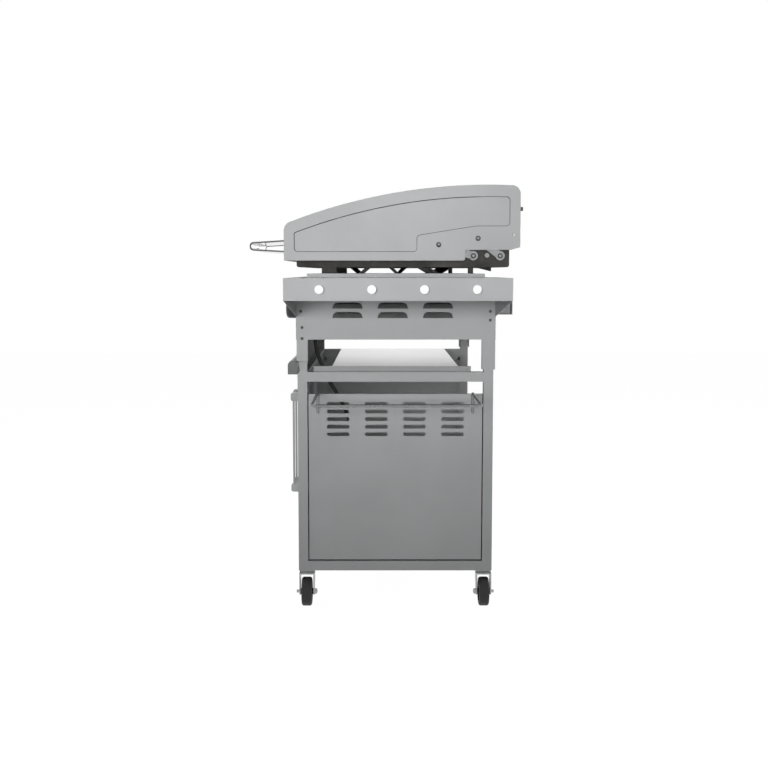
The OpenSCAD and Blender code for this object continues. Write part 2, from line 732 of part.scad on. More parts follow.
// Side shelves: a folded top with deepening brackets at front and rear
shelf_flange = 20;
shelf_lip = 12;
hat_w = 60;
module shelf() {
    apron_z = shelf_z - apron_h;
    low = shelf_z - bracket_h;
    mid = (shelf_y0 + shelf_y1) / 2;
    color(paint) {
        block([skin_x, shelf_y0, shelf_z - shelf_t], [shelf_x, shelf_y1, shelf_z]);
        block([shelf_x - shelf_t, shelf_y0, apron_z], [shelf_x, shelf_y1, shelf_z]);
        block([shelf_x - shelf_lip, shelf_y0, apron_z], [shelf_x, shelf_y1, apron_z + shelf_t]);
        for (y = [shelf_y0, shelf_y1 - shelf_t]) along_y(y, y + shelf_t) polygon([
            [skin_x, shelf_z], [skin_x, low], [skin_x + shelf_t, low],
            [shelf_x, apron_z], [shelf_x, shelf_z]]);
        for (y = [shelf_y0, shelf_y1 - shelf_flange])
            block([skin_x, y, low], [skin_x + shelf_t, y + shelf_flange, shelf_z]);
        for (y = [mid - hat_w / 2, mid + hat_w / 2 - shelf_t])
            block([skin_x, y, shelf_z - shelf_lip], [shelf_x, y + shelf_t, shelf_z]);
        block([skin_x, mid - hat_w / 2, shelf_z - shelf_lip],
            [shelf_x, mid + hat_w / 2, shelf_z - shelf_lip + shelf_t]);
    }
}
module shelf_pegs() {
    mid = (shelf_y0 + shelf_y1) / 2;
    neck = 0.45 * peg_r;
    head = 0.3 * peg_l;
    color(bright) both_sides() for (i = [0:peg_count - 1])
        translate([shelf_x, mid + (i - (peg_count - 1) / 2) * peg_pitch, shelf_z - apron_h / 2])
            rotate([0, 90, 0]) rotate_extrude() polygon([
                [0, 0], [neck, 0], [neck, peg_l - head], [peg_r - head / 4, peg_l - head],
                [peg_r, peg_l - 0.75 * head], [peg_r, peg_l - head / 4], [peg_r - head / 4, peg_l],
                [0, peg_l]]);
}

// Wire frame that holds a bag beside the vented panel
bag_drop = 50;
bag_bend = 12;
bag_hook = 14;
bag_lift = 2.5;
bag_shift = 0.5;
bag_z = side_z + panel_h + bag_lift;
bag_foot_z = bag_z - bag_drop;
bag_mid = side_mid - bag_shift;
bag_ys = [bag_mid - bag_w / 2, bag_mid + bag_w / 2];
module wire_bend(p, turn) {
    translate(p) rotate(turn) rotate_extrude(angle = 90) translate([bag_bend, 0]) circle(r = wire_r, $fn = 32);
}
module bag_frame() {
    x0 = panel_x + wire_r;
    x1 = panel_x + bag_out;
    b = bag_bend;
    $fn = 32;
    color(steel) {
        for (s = [0, 1]) let(y = bag_ys[s], in = s == 0 ? 1 : -1) {
            rod_x(panel_x - bag_hook / 2, x0, [y, bag_foot_z], wire_r);
            translate([x0, y, bag_foot_z]) sphere(r = wire_r);
            rod_z(bag_foot_z, bag_z - b, [x0, y], wire_r);
            wire_bend([x0 + b, y, bag_z - b], [90, -90, 0]);
            rod_x(x0 + b, x1 - b, [y, bag_z], wire_r);
            wire_bend([x1 - b, y + in * b, bag_z], [0, 0, s == 0 ? -90 : 0]);
        }
        rod_y(bag_ys[0] + b, bag_ys[1] - b, [x1, bag_z], wire_r);
    }
}

// Grease cup in its trough on the back wall
trough_t = 2.5;
trough_d = 84.3;
trough_drop = 61.6;
trough_wall = 72;
cup_inset = 46;
cup_x1 = leg_in - cup_inset;
cup_t = 1;
cup_z = box_z + trough_drop + trough_t + seat;
module cup_holder() {
    y0 = box_y1;
    y1 = box_y1 + trough_d;
    z0 = box_z + trough_drop;
    x = [cup_x1 - cup_l - 2 * trough_t, cup_x1 + 2 * trough_t];
    color(black) {
        block([x[0], y0, z0], [x[1], y1, z0 + trough_t]);
        block([x[0], y0, z0], [x[1], y0 + trough_t, z0 + trough_wall + tube_w]);
        block([x[0], y1 - trough_t, z0], [x[1], y1, z0 + trough_wall]);
    }
}
module grease_cup() {
    lo = [cup_x1 - cup_l, box_y1 + 2 * trough_t, cup_z];
    hi = [cup_x1, box_y1 + trough_d - 2 * trough_t, cup_z + cup_h];
    color("#c4c7c8") difference() {
        union() {
            block(lo, hi);
            block([lo[0], lo[1] - trough_t + seat, hi[2] - 2 * cup_t], [hi[0], hi[1], hi[2]]);
        }
        block(lo + [cup_t, cup_t, cup_t], hi + [-cup_t, -cup_t, over]);
    }
}

// Doors: folded pans turning on two pins each
pin_x = leg_in - norm([pin_front, pin_side]) - door_clear;
pin_y = leg_y0 + seat + pin_front;
door_z0 = rail_z + door_gap;
door_z1 = front_rail_z - door_gap;
door_x0 = door_gap / 2;
handle_x = 2 * tube_w;
module door() {
    y0 = pin_y - pin_front;
    x1 = pin_x + pin_side;
    color(paint) difference() {
        block([door_x0, y0, door_z0], [x1, y0 + door_t, door_z1]);
        block([door_x0 + sheet_t, y0 + sheet_t, door_z0 + sheet_t],
            [x1 - sheet_t, y0 + door_t + over, door_z1 - sheet_t]);
        rod_z(door_z0 - over, door_z1 + over, [pin_x, pin_y], pin_r + fit);
    }
}
module door_hardware() {
    catch_x = [door_x0 + handle_x, door_x0 + 1.6 * handle_x];
    y = pin_y - pin_front + door_t;
    color(steel) both_sides() {
        rod_z(rail_z, door_z0 + 3 * pin_r, [pin_x, pin_y], pin_r);
        difference() {
            rod_z(rail_z, door_z0 - seat, [pin_x, pin_y], 1.8 * pin_r);
            rod_z(rail_z - over, door_z0 + over, [pin_x, pin_y], pin_r);
        }
        rod_z(door_z1 - 3 * pin_r, front_rail_z, [pin_x, pin_y], pin_r);
        block([catch_x[0], y + seat, door_z1 - tube_w / 2], [catch_x[1], y + tube_w / 3, front_rail_z]);
    }
}
handle_cap = 24;
handle_w = 20;
handle_grip_t = 4.7;
handle_inset = 5.6;
module door_handle() {
    y1 = pin_y - pin_front;
    y0 = y1 - door_handle_out;
    z = foot_z + door_handle_z;
    half = door_handle_l / 2;
    cap = handle_w * 0.3;
    color(bright) {
        for (s = [-1, 1]) let(zc = z + s * (half - handle_cap / 2))
            along_x(handle_x - handle_w / 2, handle_x + handle_w / 2) polygon(rounded([
                [y0, zc - handle_cap / 2], [y1, zc - handle_cap / 2],
                [y1, zc + handle_cap / 2], [y0, zc + handle_cap / 2]], [cap, 0, 0, cap]));
        block([handle_x - handle_w / 2, y0 + handle_inset, z - half + handle_cap],
            [handle_x + handle_w / 2, y0 + handle_inset + handle_grip_t, z + half - handle_cap]);
    }
}

// Casters: a plate under each leg, a fork on a short kingpin and a wheel
caster_inset = 9.5;
plate_under = 3;
fork_w = wheel_w + 2 * wheel_play + 2 * fork_t;
socket_z = foot_z - plate_under;
axle_z = wheel_d / 2;
stem_x = leg_x - tube_w / 2;
nut_r_share = 1.8;
nut_t_share = 1.4;
function stem_y(rear) = rear ? leg_y1 - tube_w / 2 - caster_inset : leg_y0 + tube_w / 2 + caster_inset;
module caster_sockets() {
    color(steel) both_sides() for (rear = [false, true]) let(y = stem_y(rear)) difference() {
        block([leg_in, y - fork_w / 2, socket_z], [leg_x, y + fork_w / 2, foot_z]);
        rod_z(socket_z - over, foot_z + over, [stem_x, y], stem_r + fit);
    }
}
module caster_fork(side, rear) {
    top = socket_z - seat;
    x = side * stem_x;
    y = stem_y(rear);
    ax = x + trail;
    eye = 2.4 * axle_r;
    w = fork_w / 2;
    inward = rear ? -1 : 1;
    tip = w + nut_r_share * axle_r;
    color(steel) {
        rod_z(top - fork_t, foot_z - seat, [x, y], stem_r);
        rod_z(top - 2 * fork_t, top - fork_t, [x, y], 2 * stem_r);
        block([x - 2 * stem_r, y - w, top - fork_t], [ax + eye, y + w, top]);
        for (s = [-w, w - fork_t]) {
            along_y(y + s, y + s + fork_t) polygon([
                [ax + eye, top], [x - 2 * stem_r, top], [x - 2 * stem_r, top - 3 * fork_t],
                [ax - eye, axle_z], [ax + eye, axle_z]]);
            rod_y(y + s, y + s + fork_t, [ax, axle_z], eye);
        }
        rod_y(y - tip, y + tip, [ax, axle_z], axle_r);
        translate([ax, y + inward * (w + nut_t_share * axle_r / 2), axle_z]) rotate([90, 0, 0])
            cylinder(r = nut_r_share * axle_r, h = nut_t_share * axle_r, center = true, $fn = 6);
    }
}
module wheel(side, rear) {
    r = wheel_d / 2;
    w = wheel_w / 2;
    hub = w + wheel_play - seat;
    round = 0.22 * w;
    color(black) translate([side * stem_x + trail, stem_y(rear), axle_z]) rotate([90, 0, 0])
        rotate_extrude() polygon(rounded([
            [axle_r + fit, -hub], [2 * axle_r, -hub], [2 * axle_r, -0.55 * w], [0.66 * r, -0.55 * w],
            [0.7 * r, -w], [r, -w], [r, w], [0.7 * r, w], [0.66 * r, 0.55 * w], [2 * axle_r, 0.55 * w],
            [2 * axle_r, hub], [axle_r + fit, hub]],
            [0, 0, 0, 0, 0, 2 * round, 2 * round, 0, 0, 0, 0, 0]));
}

// Screws that show on the frame
screw_r = 3.8;
screw_h = 2;
front_screw_y = leg_y0 + tube_w / 2;
module screw_head(x, y, z) {
    translate([x, y, z]) rotate([0, 90, 0]) rotate_extrude($fn = 24) polygon([
        [0, 0], [screw_r, 0], [screw_r, 0.4 * screw_h], [0.75 * screw_r, screw_h], [0, screw_h]]);
}
module frame_screws() {
    low = shelf_z - bracket_h;
    color(steel) both_sides() {
        for (z = [box_z + 0.1 * tube_w, box_z + 1.25 * tube_w]) screw_head(upper_x, front_screw_y, z);
        screw_head(skin_x + shelf_t, shelf_y0 + 0.6 * shelf_flange, low + screw_r * 3.6);
        screw_head(skin_x + shelf_t, shelf_y1 - 0.7 * shelf_flange, low + screw_r * 3.6);
        screw_head(skin_x, shelf_y1 - 0.7 * shelf_flange, low - screw_r * 2.4);
    }
}

// Griddle plate: a steel pan with rising side walls
wall_slope = [60, 310];
plate_fold = 6;
drain = [325, 62];
drain_r = 9;
function pan_outline(t, b) = rounded([
    [plate_y0 + t, plate_z + b], [plate_y1 - t, plate_z + b], [plate_y1 - t, plate_z + wall_h],
    [plate_y0 + wall_slope[1], plate_z + wall_h], [plate_y0 + wall_slope[0], plate_z + front_wall_h],
    [plate_y0 + t, plate_z + front_wall_h]], [plate_fold, plate_fold, 0, 0, 0, 0]);
module griddle_plate() {
    color(black) difference() {
        along_x(-plate_x, plate_x) polygon(pan_outline(0, 0));
        along_x(wall_t - plate_x, plate_x - wall_t) polygon([
            [plate_y0 + wall_t, plate_z + plate_t], [plate_y1 - wall_t, plate_z + plate_t],
            [plate_y1 - wall_t, plate_z + wall_h + over], [plate_y0 + wall_t, plate_z + wall_h + over]]);
        rod_z(plate_z - over, plate_z + plate_t + over, [drain[0], plate_y1 - drain[1]], drain_r);
        for (p = [front_fixed, rear_fixed, stop_pin]) rod_x(-plate_x - over, plate_x + over, p, bolt_r);
    }
}
rib_t = 2;
rib_y_shares = [0.289, 0.485, 0.678];
rib_end = 18;
rib_ws = [46, 42, 64];
foot_y = 83.5;
foot_w = 38;
rear_foot_y = 446.5;
rear_foot_r = 7;
module griddle_supports() {
    x = plate_x - rib_end;
    foot_x = [upper_x - rim_fold + seat, plate_x];
    color(black) {
        for (i = [0:2]) let(y = plate_y0 + rib_y_shares[i] * plate_d, w = rib_ws[i] / 2)
            along_x(-x, x) polygon([
            [y - w, plate_z], [y, plate_z - rib_h], [y + w, plate_z],
            [y + w - 2 * rib_t, plate_z], [y, plate_z - rib_h + rib_t], [y - w + 2 * rib_t, plate_z]]);
        both_sides() {
            block([foot_x[0], plate_y0 + foot_y - foot_w / 2, rim_z],
                [foot_x[1], plate_y0 + foot_y + foot_w / 2, rim_z + rib_t]);
            block([foot_x[1] - rib_t, plate_y0 + foot_y - foot_w / 2, rim_z],
                [foot_x[1], plate_y0 + foot_y + foot_w / 2, plate_z]);
            rod_z(rim_z, plate_z, [plate_x - rear_foot_r, plate_y0 + rear_foot_y], rear_foot_r);
        }
    }
}
spout_w = 40;
spout_reach = [76, 36.5];
spout_drop = 10;
module grease_spout() {
    y0 = plate_y1 - spout_reach[0];
    y1 = plate_y1 - spout_reach[1];
    x = [drain[0] - spout_w / 2, drain[0] + spout_w / 2];
    color(black) {
        along_x(x[0], x[1]) polygon([[y0, plate_z], [y1, plate_z - spout_drop],
            [y1, plate_z - spout_drop + rib_t], [y0 + 4 * rib_t, plate_z]]);
        for (xs = [x[0], x[1] - rib_t]) along_x(xs, xs + rib_t)
            polygon([[y0, plate_z], [y1, plate_z - spout_drop], [y1, plate_z]]);
    }
}
head_r = 6.7;
head_t = 1.9;
module hinge_bolts() {
    outer = link_x + link_t + seat;
    color(steel) both_sides() {
        for (p = [front_fixed, rear_fixed]) {
            rod_x(plate_x - wall_t, outer + head_t, p, bolt_r - fit);
            difference() {
                rod_x(plate_x, link_x - seat, p, head_r + fold_gap);
                rod_x(plate_x - over, link_x, p, bolt_r - fit);
            }
            difference() {
                rod_x(outer, outer + head_t, p, head_r);
                translate([outer + head_t / 2, p[0], p[1]]) rotate([0, 90, 0])
                    cylinder(r = 0.5 * head_r, h = head_t, $fn = 6);
            }
            rod_x(plate_x - wall_t - head_t, plate_x - wall_t, p, head_r);
        }
        rod_x(plate_x - wall_t, outer + head_t, stop_pin, bolt_r - fit);
        difference() {
            rod_x(plate_x, outer + head_t, stop_pin, stop_r);
            rod_x(plate_x - over, outer + head_t + over, stop_pin, bolt_r - fit);
        }
    }
}

// Links between the plate and the hood
module link(a, b) {
    d = b - a;
    difference() {
        union() {
            rod_x(link_x, link_x + link_t, a, eye_r);
            rod_x(link_x, link_x + link_t, b, eye_r);
            translate([0, a[0], a[1]]) rotate([atan2(d.y, d.x), 0, 0])
                block([link_x, 0, -link_w / 2], [link_x + link_t, norm(d), link_w / 2]);
        }
        for (p = [a, b]) rod_x(link_x - over, link_x + link_t + over, p, bolt_r + fit);
    }
}
module front_links() { color(steel) both_sides() link(front_fixed, front_eye); }
module rear_links() { color(steel) both_sides() link(rear_fixed, rear_eye); }

// Hood: outline from the lower front edge over the top to the lower rear edge
front_fold_c = let(r = lid_r - fold_front, y = lid_y0 + fold_front)
    [y, crown.y + sqrt(r * r - (y - crown.x) * (y - crown.x))];
rear_fold_c = let(r = lid_r - fold_rear, y = lid_y1 - fold_rear)
    [y, crown.y + sqrt(r * r - (y - crown.x) * (y - crown.x))];
top_steps = 24;
tail_z = lid_z0 + notch_rise + tail_rise;
function bearing(c) = atan2(c.y - crown.y, c.x - crown.x);
function hood_line(t) = concat(
    [[lid_y0 + t, lid_z0]],
    arc(front_fold_c, fold_front - t, 180, bearing(front_fold_c), 2 * fillet_steps),
    arc(crown, lid_r - t, bearing(front_fold_c), bearing(rear_fold_c), top_steps),
    arc(rear_fold_c, fold_rear - t, bearing(rear_fold_c), 0, 2 * fillet_steps),
    [[lid_y1 - t, tail_z]]);
module lid_shell() {
    color(paint) along_x(-lid_in, lid_in) polygon(concat(hood_line(0), reversed(hood_line(lid_t))));
}
// Pressed field of a hood end, with a step round the pivots
field_front = 24.5;
field_low = 21;
field_rear = 25.2;
field_top = 28;
field_step = 53.9;
field_step_z = [41, 29.4];
field_knee = 5.4;
field_r = 9;
function field_line(t) = let(
        y0 = lid_y0 + field_front + t,
        y1 = lid_y1 - field_rear - t,
        z0 = lid_z0 + field_low + t,
        ys = front_eye.x - field_step - t,
        r = lid_r - field_top - t,
        a0 = acos((y0 - crown.x) / r),
        a1 = acos((y1 - crown.x) / r),
        top = arc(crown, r, a1, a0, top_steps),
        knee = [rear_eye.x - field_knee, rear_eye.y + field_step_z[1] + t],
        pts = concat([[y0, z0], [ys, z0], [ys, z0 + field_step_z[0]], knee, [y1, knee.y]], top))
    rounded(pts, concat([field_r, field_r, field_r, 2 * field_r, field_r, field_r],
        [for (i = [1:top_steps - 1]) 0], [field_r / 2]));
module lid_end() {
    notch_y = front_fixed.x - eye_r - notch_gap;
    edge = concat(hood_line(0), [
        [lid_y1 - tail_l, lid_z0 + notch_rise], [notch_y, lid_z0 + notch_rise],
        [notch_y, lid_z0 + 2 * fold_gap], [notch_y - 2 * fold_gap, lid_z0]]);
    difference() {
        union() {
            along_x(lid_in, lid_x) polygon(edge);
            along_x(lid_in - press_h, lid_in) polygon(field_line(0));
        }
        along_x(lid_x - press_h, lid_x + over) polygon(field_line(lid_t));
        for (p = [front_eye, rear_eye]) rod_x(lid_in - over, lid_x + over, p, bolt_r);
        rod_x(lid_in - over, lid_x + over, [lid_y1 - hook_hole[0], rear_eye.y + hook_hole[1]], bolt_r / 2);
    }
}
module lid_ends() { color(paint) both_sides() lid_end(); }
handle_top = 60;
handle_bottom = 24;
handle_taper = [7, 6];
handle_t = 3;
handle_tip_r = 11;
handle_lip = 12;
module lid_handle() {
    z0 = lid_z0 + handle_bottom;
    z1 = lid_z0 + handle_top;
    tip = lid_y0 - lid_handle_out;
    t = handle_t;
    outer = rounded([[lid_y0, z1], [tip, z1 - handle_taper[0]], [tip, z0 + handle_taper[1]], [lid_y0, z0]],
        [0, handle_tip_r, handle_tip_r, 0]);
    inner = rounded([[lid_y0, z1 - t], [tip + t, z1 - handle_taper[0] - t],
        [tip + t, z0 + handle_taper[1] + t], [lid_y0, z0 + t]], [0, handle_tip_r - t, handle_tip_r - t, 0]);
    color(bright) along_x(-lid_handle_l / 2, lid_handle_l / 2) {
        polygon(concat(outer, reversed(inner)));
        translate([lid_y0 - t, z1 - handle_lip - t]) square([t, handle_lip + t / 2]);
        translate([lid_y0 - t, z0 + t / 2]) square([t, handle_lip + t / 2]);
    }
}
bumper_x = 100;
bumper_z = 136;
bumper_r = 5.3;
module lid_hardware() {
    inner = link_x + link_t;
    color(steel) {
        both_sides() {
            rod_x(inner + seat, lid_x, front_eye, bolt_r);
            rod_x(link_x - head_t, lid_x, rear_eye, bolt_r);
            difference() {
                rod_x(inner + seat, lid_in, rear_eye, head_r);
                rod_x(inner, lid_in + over, rear_eye, bolt_r);
            }
            difference() {
                rod_x(link_x - head_t, link_x - seat, rear_eye, head_r);
                rod_x(link_x - 2 * head_t, link_x, rear_eye, bolt_r);
            }
            for (p = [front_eye, rear_eye]) translate([lid_x, p[0], p[1]]) rotate([0, 90, 0])
                rotate_extrude() polygon([[0, 0], [head_r, 0], [head_r, 0.5 * head_t],
                    [0.7 * head_r, 1.3 * head_t], [0.4 * head_r, 1.3 * head_t],
                    [0.4 * head_r, 0.6 * head_t], [0, 0.6 * head_t]]);
        }
    }
    color(black) both_sides()
        rod_y(lid_y1, lid_y1 + bumper_l, [lid_in - bumper_x, lid_z0 + bumper_z], bumper_r);
}

leg(-1, false);  // leg_front_left
leg(1, false);  // leg_front_right
leg(-1, true);  // leg_rear_left
leg(1, true);  // leg_rear_right
upper_legs();
side_rails();
cross_rails();
side_panel_left();
side_panel_right();
bottom_shelf();
heat_shield();
front_fascia();
tool_rail();
tool_loops();
on_side(-1) firebox_side();  // firebox_side_left
firebox_side();  // firebox_side_right
firebox_walls();
control_panel();
burners();
gas_manifold();
gas_valves();
igniter_module();
gas_hose();
regulator();
on_side(-1) shelf();  // shelf_left
shelf();  // shelf_right
shelf_pegs();
bag_frame();
cup_holder();
door_hardware();
caster_sockets();
frame_screws();
griddle_plate();
griddle_supports();
grease_spout();
hinge_bolts();
front_links();
rear_links();
lid_shell();
lid_ends();
lid_handle();
lid_hardware();
on_side(-1) door();  // door_left
door();  // door_right
on_side(-1) door_handle();  // door_handle_left
door_handle();  // door_handle_right
knob(1);  // knob_1
knob(2);  // knob_2
knob(3);  // knob_3
knob(4);  // knob_4
igniter_button();
grease_cup();
caster_fork(-1, false);  // caster_fork_front_left
caster_fork(1, false);  // caster_fork_front_right
caster_fork(-1, true);  // caster_fork_rear_left
caster_fork(1, true);  // caster_fork_rear_right
wheel(-1, false);  // wheel_front_left
wheel(1, false);  // wheel_front_right
wheel(-1, true);  // wheel_rear_left
wheel(1, true);  // wheel_rear_right
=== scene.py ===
# Looks of an outdoor gas griddle station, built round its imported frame
import json
import math

import bmesh
import bpy
from mathutils import Matrix, Vector


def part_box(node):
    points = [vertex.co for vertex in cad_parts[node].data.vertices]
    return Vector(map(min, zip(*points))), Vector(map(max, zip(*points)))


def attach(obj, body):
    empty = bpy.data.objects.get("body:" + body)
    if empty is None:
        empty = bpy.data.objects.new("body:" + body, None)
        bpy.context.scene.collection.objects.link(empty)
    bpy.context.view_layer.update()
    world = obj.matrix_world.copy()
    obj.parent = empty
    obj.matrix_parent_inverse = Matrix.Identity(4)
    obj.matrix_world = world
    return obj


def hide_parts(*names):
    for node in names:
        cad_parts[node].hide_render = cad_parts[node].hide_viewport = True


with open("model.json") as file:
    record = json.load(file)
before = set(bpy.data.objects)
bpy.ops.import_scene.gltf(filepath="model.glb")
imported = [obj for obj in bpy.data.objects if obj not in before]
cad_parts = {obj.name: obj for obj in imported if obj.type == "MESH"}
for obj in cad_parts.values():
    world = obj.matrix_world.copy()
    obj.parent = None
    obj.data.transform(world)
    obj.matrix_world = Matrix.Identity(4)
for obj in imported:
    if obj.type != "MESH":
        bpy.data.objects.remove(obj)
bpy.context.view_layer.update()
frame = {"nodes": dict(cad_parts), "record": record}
nodes = frame["nodes"]
print("frame loaded:", len(nodes), "nodes")


def addObject(name, data):
    made = bpy.data.objects.new(name, data)
    bpy.context.collection.objects.link(made)
    return made


# The camera stands to the right of the station, a little above the shelves
cameraSpot = {"place": (3.426, -0.0025, 0.869), "down": 5.54, "turn": -0.1, "lens": 54.15, "sensor": 36.0}


def makeCamera():
    data = bpy.data.cameras.new("camera")
    data.lens = cameraSpot["lens"]
    data.sensor_width = cameraSpot["sensor"]
    camera = addObject("camera", data)
    camera.location = cameraSpot["place"]
    camera.rotation_euler = (math.radians(90 - cameraSpot["down"]), 0, math.radians(90 + cameraSpot["turn"]))
    bpy.context.scene.camera = camera


makeCamera()
bpy.context.scene.view_settings.view_transform = "Standard"
print("camera set")


# Shader sums are written as Python expressions on wires
class Wire:
    def __init__(self, graph, socket):
        self.graph = graph
        self.socket = socket

    def sum(self, operation, first, second):
        return self.graph.add("ShaderNodeMath", {"operation": operation}, {0: first, 1: second})

    def __add__(self, other):
        return self.sum("ADD", self, other)

    def __radd__(self, other):
        return self.sum("ADD", other, self)

    def __sub__(self, other):
        return self.sum("SUBTRACT", self, other)

    def __rsub__(self, other):
        return self.sum("SUBTRACT", other, self)

    def __mul__(self, other):
        return self.sum("MULTIPLY", self, other)

    def __rmul__(self, other):
        return self.sum("MULTIPLY", other, self)


# The rounded and the true normal agree by this much on a worn edge and on a flat face
bevels = {"samples": 4, "worn": 0.90, "flat": 0.995}


class Graph:
    def __init__(self, tree):
        self.tree = tree
        tree.nodes.clear()

    def link(self, socket, value):
        if isinstance(value, Wire):
            self.tree.links.new(value.socket, socket)
        elif hasattr(socket.default_value, "__len__") and not hasattr(value, "__len__"):
            socket.default_value = [value] * len(socket.default_value)
        elif socket.type == "RGBA" and len(value) == 3:
            socket.default_value = (*value, 1)
        else:
            socket.default_value = value

    # Adds any node: its settings first, then the values or wires of its sockets
    def add(self, kind, settings=None, inputs=None, output=0):
        node = self.tree.nodes.new(kind)
        for name, value in (settings or {}).items():
            if name == "stops":
                self.setStops(node.color_ramp, value)
            else:
                setattr(node, name, value)
        for name, value in (inputs or {}).items():
            self.link(node.inputs[name], value)
        return Wire(self, node.outputs[output]) if len(node.outputs) else None

    def setStops(self, ramp, stops):
        while len(ramp.elements) < len(stops):
            ramp.elements.new(0.5)
        for element, (position, color) in zip(ramp.elements, stops):
            element.position = position
            element.color = (color, color, color, 1) if isinstance(color, (int, float)) else (*color, 1)

    def place(self, scale=(1, 1, 1)):
        spot = self.add("ShaderNodeTexCoord", output="Object")
        return self.add("ShaderNodeMapping", {}, {"Vector": spot, "Scale": scale})

    def noise(self, scale, detail, stretch=(1, 1, 1), roughness=0.55):
        return self.add("ShaderNodeTexNoise", {}, {"Vector": self.place(stretch), "Scale": scale,
                                                  "Detail": detail, "Roughness": roughness})

    # Runs from low to high while the wire goes from start to stop
    def vary(self, wire, low, high, start=0.3, stop=0.7):
        return self.add("ShaderNodeValToRGB", {"stops": [(start, low), (stop, high)]}, {"Fac": wire})

    def patches(self, scale, detail, low, high, start=0.3, stop=0.7):
        return self.vary(self.noise(scale, detail), low, high, start, stop)

    def blend(self, factor, first, second, mode="MIX"):
        return self.add("ShaderNodeMix", {"data_type": "RGBA", "blend_type": mode},
                        {0: factor, 6: first, 7: second}, output=2)

    def tint(self, color, tone):
        return self.blend(1, color, tone, "MULTIPLY")

    def bump(self, height, strength, depth, normal):
        return self.add("ShaderNodeBump", {}, {"Height": height, "Strength": strength, "Distance": depth,
                                               "Normal": normal})

    def grain(self, scale, detail, strength, depth, normal):
        return self.bump(self.noise(scale, detail), strength, depth, normal)

    def trueNormal(self):
        return self.add("ShaderNodeNewGeometry", output="Normal")

    def softEdge(self, radius):
        return self.add("ShaderNodeBevel", {"samples": bevels["samples"]}, {"Radius": radius})

    # Where a rounded normal leaves the true one lies an edge
    def worn(self, rounded):
        facing = self.add("ShaderNodeVectorMath", {"operation": "DOT_PRODUCT"},
                          {0: rounded, 1: self.trueNormal()}, output="Value")
        return self.vary(facing, 1, 0, bevels["worn"], bevels["flat"])

    def surface(self, inputs):
        shader = self.add("ShaderNodeBsdfPrincipled", {}, inputs)
        self.add("ShaderNodeOutputMaterial", {}, {"Surface": shader})


finishes = {}


def finish(name, build, *look):
    material = bpy.data.materials.new(name)
    material.use_nodes = True
    build(Graph(material.node_tree), *look)
    finishes[name] = material


# Patches in a look are (scale, detail, low, high), with where the run starts and stops if not at 0.3 and 0.7.
# Grain is (scale, detail, strength, depth in metres), and wear is how far the bare colour shows on edges.
paint = {"color": (0.41, 0.415, 0.42), "bare": (0.62, 0.62, 0.62), "wear": 0.35, "metal": 0.10, "shine": 0.35,
         "rough": 0.42, "dull": 0.06, "rubbed": 0.08, "edge": 0.0007, "cloud": (5, 4, 0.94, 1.05),
         "flake": (1400, 2, 0.93, 1.07, 0.35, 0.65), "grime": (38, 6, 0, 1, 0.56, 0.78),
         "grain": (620, 2, 0.05, 0.0003)}


def greyPaint(g):
    rounded = g.softEdge(paint["edge"])
    worn = g.worn(rounded)
    color = g.tint(g.tint(paint["color"], g.patches(*paint["cloud"])), g.patches(*paint["flake"]))
    rough = paint["rough"] + g.patches(*paint["grime"]) * paint["dull"] - worn * paint["rubbed"]
    g.surface({"Base Color": g.blend(worn * paint["wear"], color, paint["bare"]), "Metallic": paint["metal"],
               "Roughness": rough, "Normal": g.grain(*paint["grain"], rounded),
               "Specular IOR Level": paint["shine"]})


finish("greyPaint", greyPaint)


# Grey outside, and painted shade on the rear face, which looks into the burner bay: matt black there
bayShade = {"color": (0.03, 0.031, 0.029), "facing": (0.2, 0.6), "dull": 0.2}


def linedPaint(g):
    rear = g.add("ShaderNodeSeparateXYZ", {}, {"Vector": g.trueNormal()}, output="Y")
    inside = g.vary(rear, 0, 1, *bayShade["facing"])
    color = g.tint(paint["color"], g.patches(*paint["cloud"]))
    g.surface({"Base Color": g.blend(inside, color, bayShade["color"]), "Metallic": paint["metal"],
               "Roughness": paint["rough"] + inside * bayShade["dull"],
               "Normal": g.grain(*paint["grain"], g.softEdge(paint["edge"])),
               "Specular IOR Level": paint["shine"]})


finish("linedPaint", linedPaint)


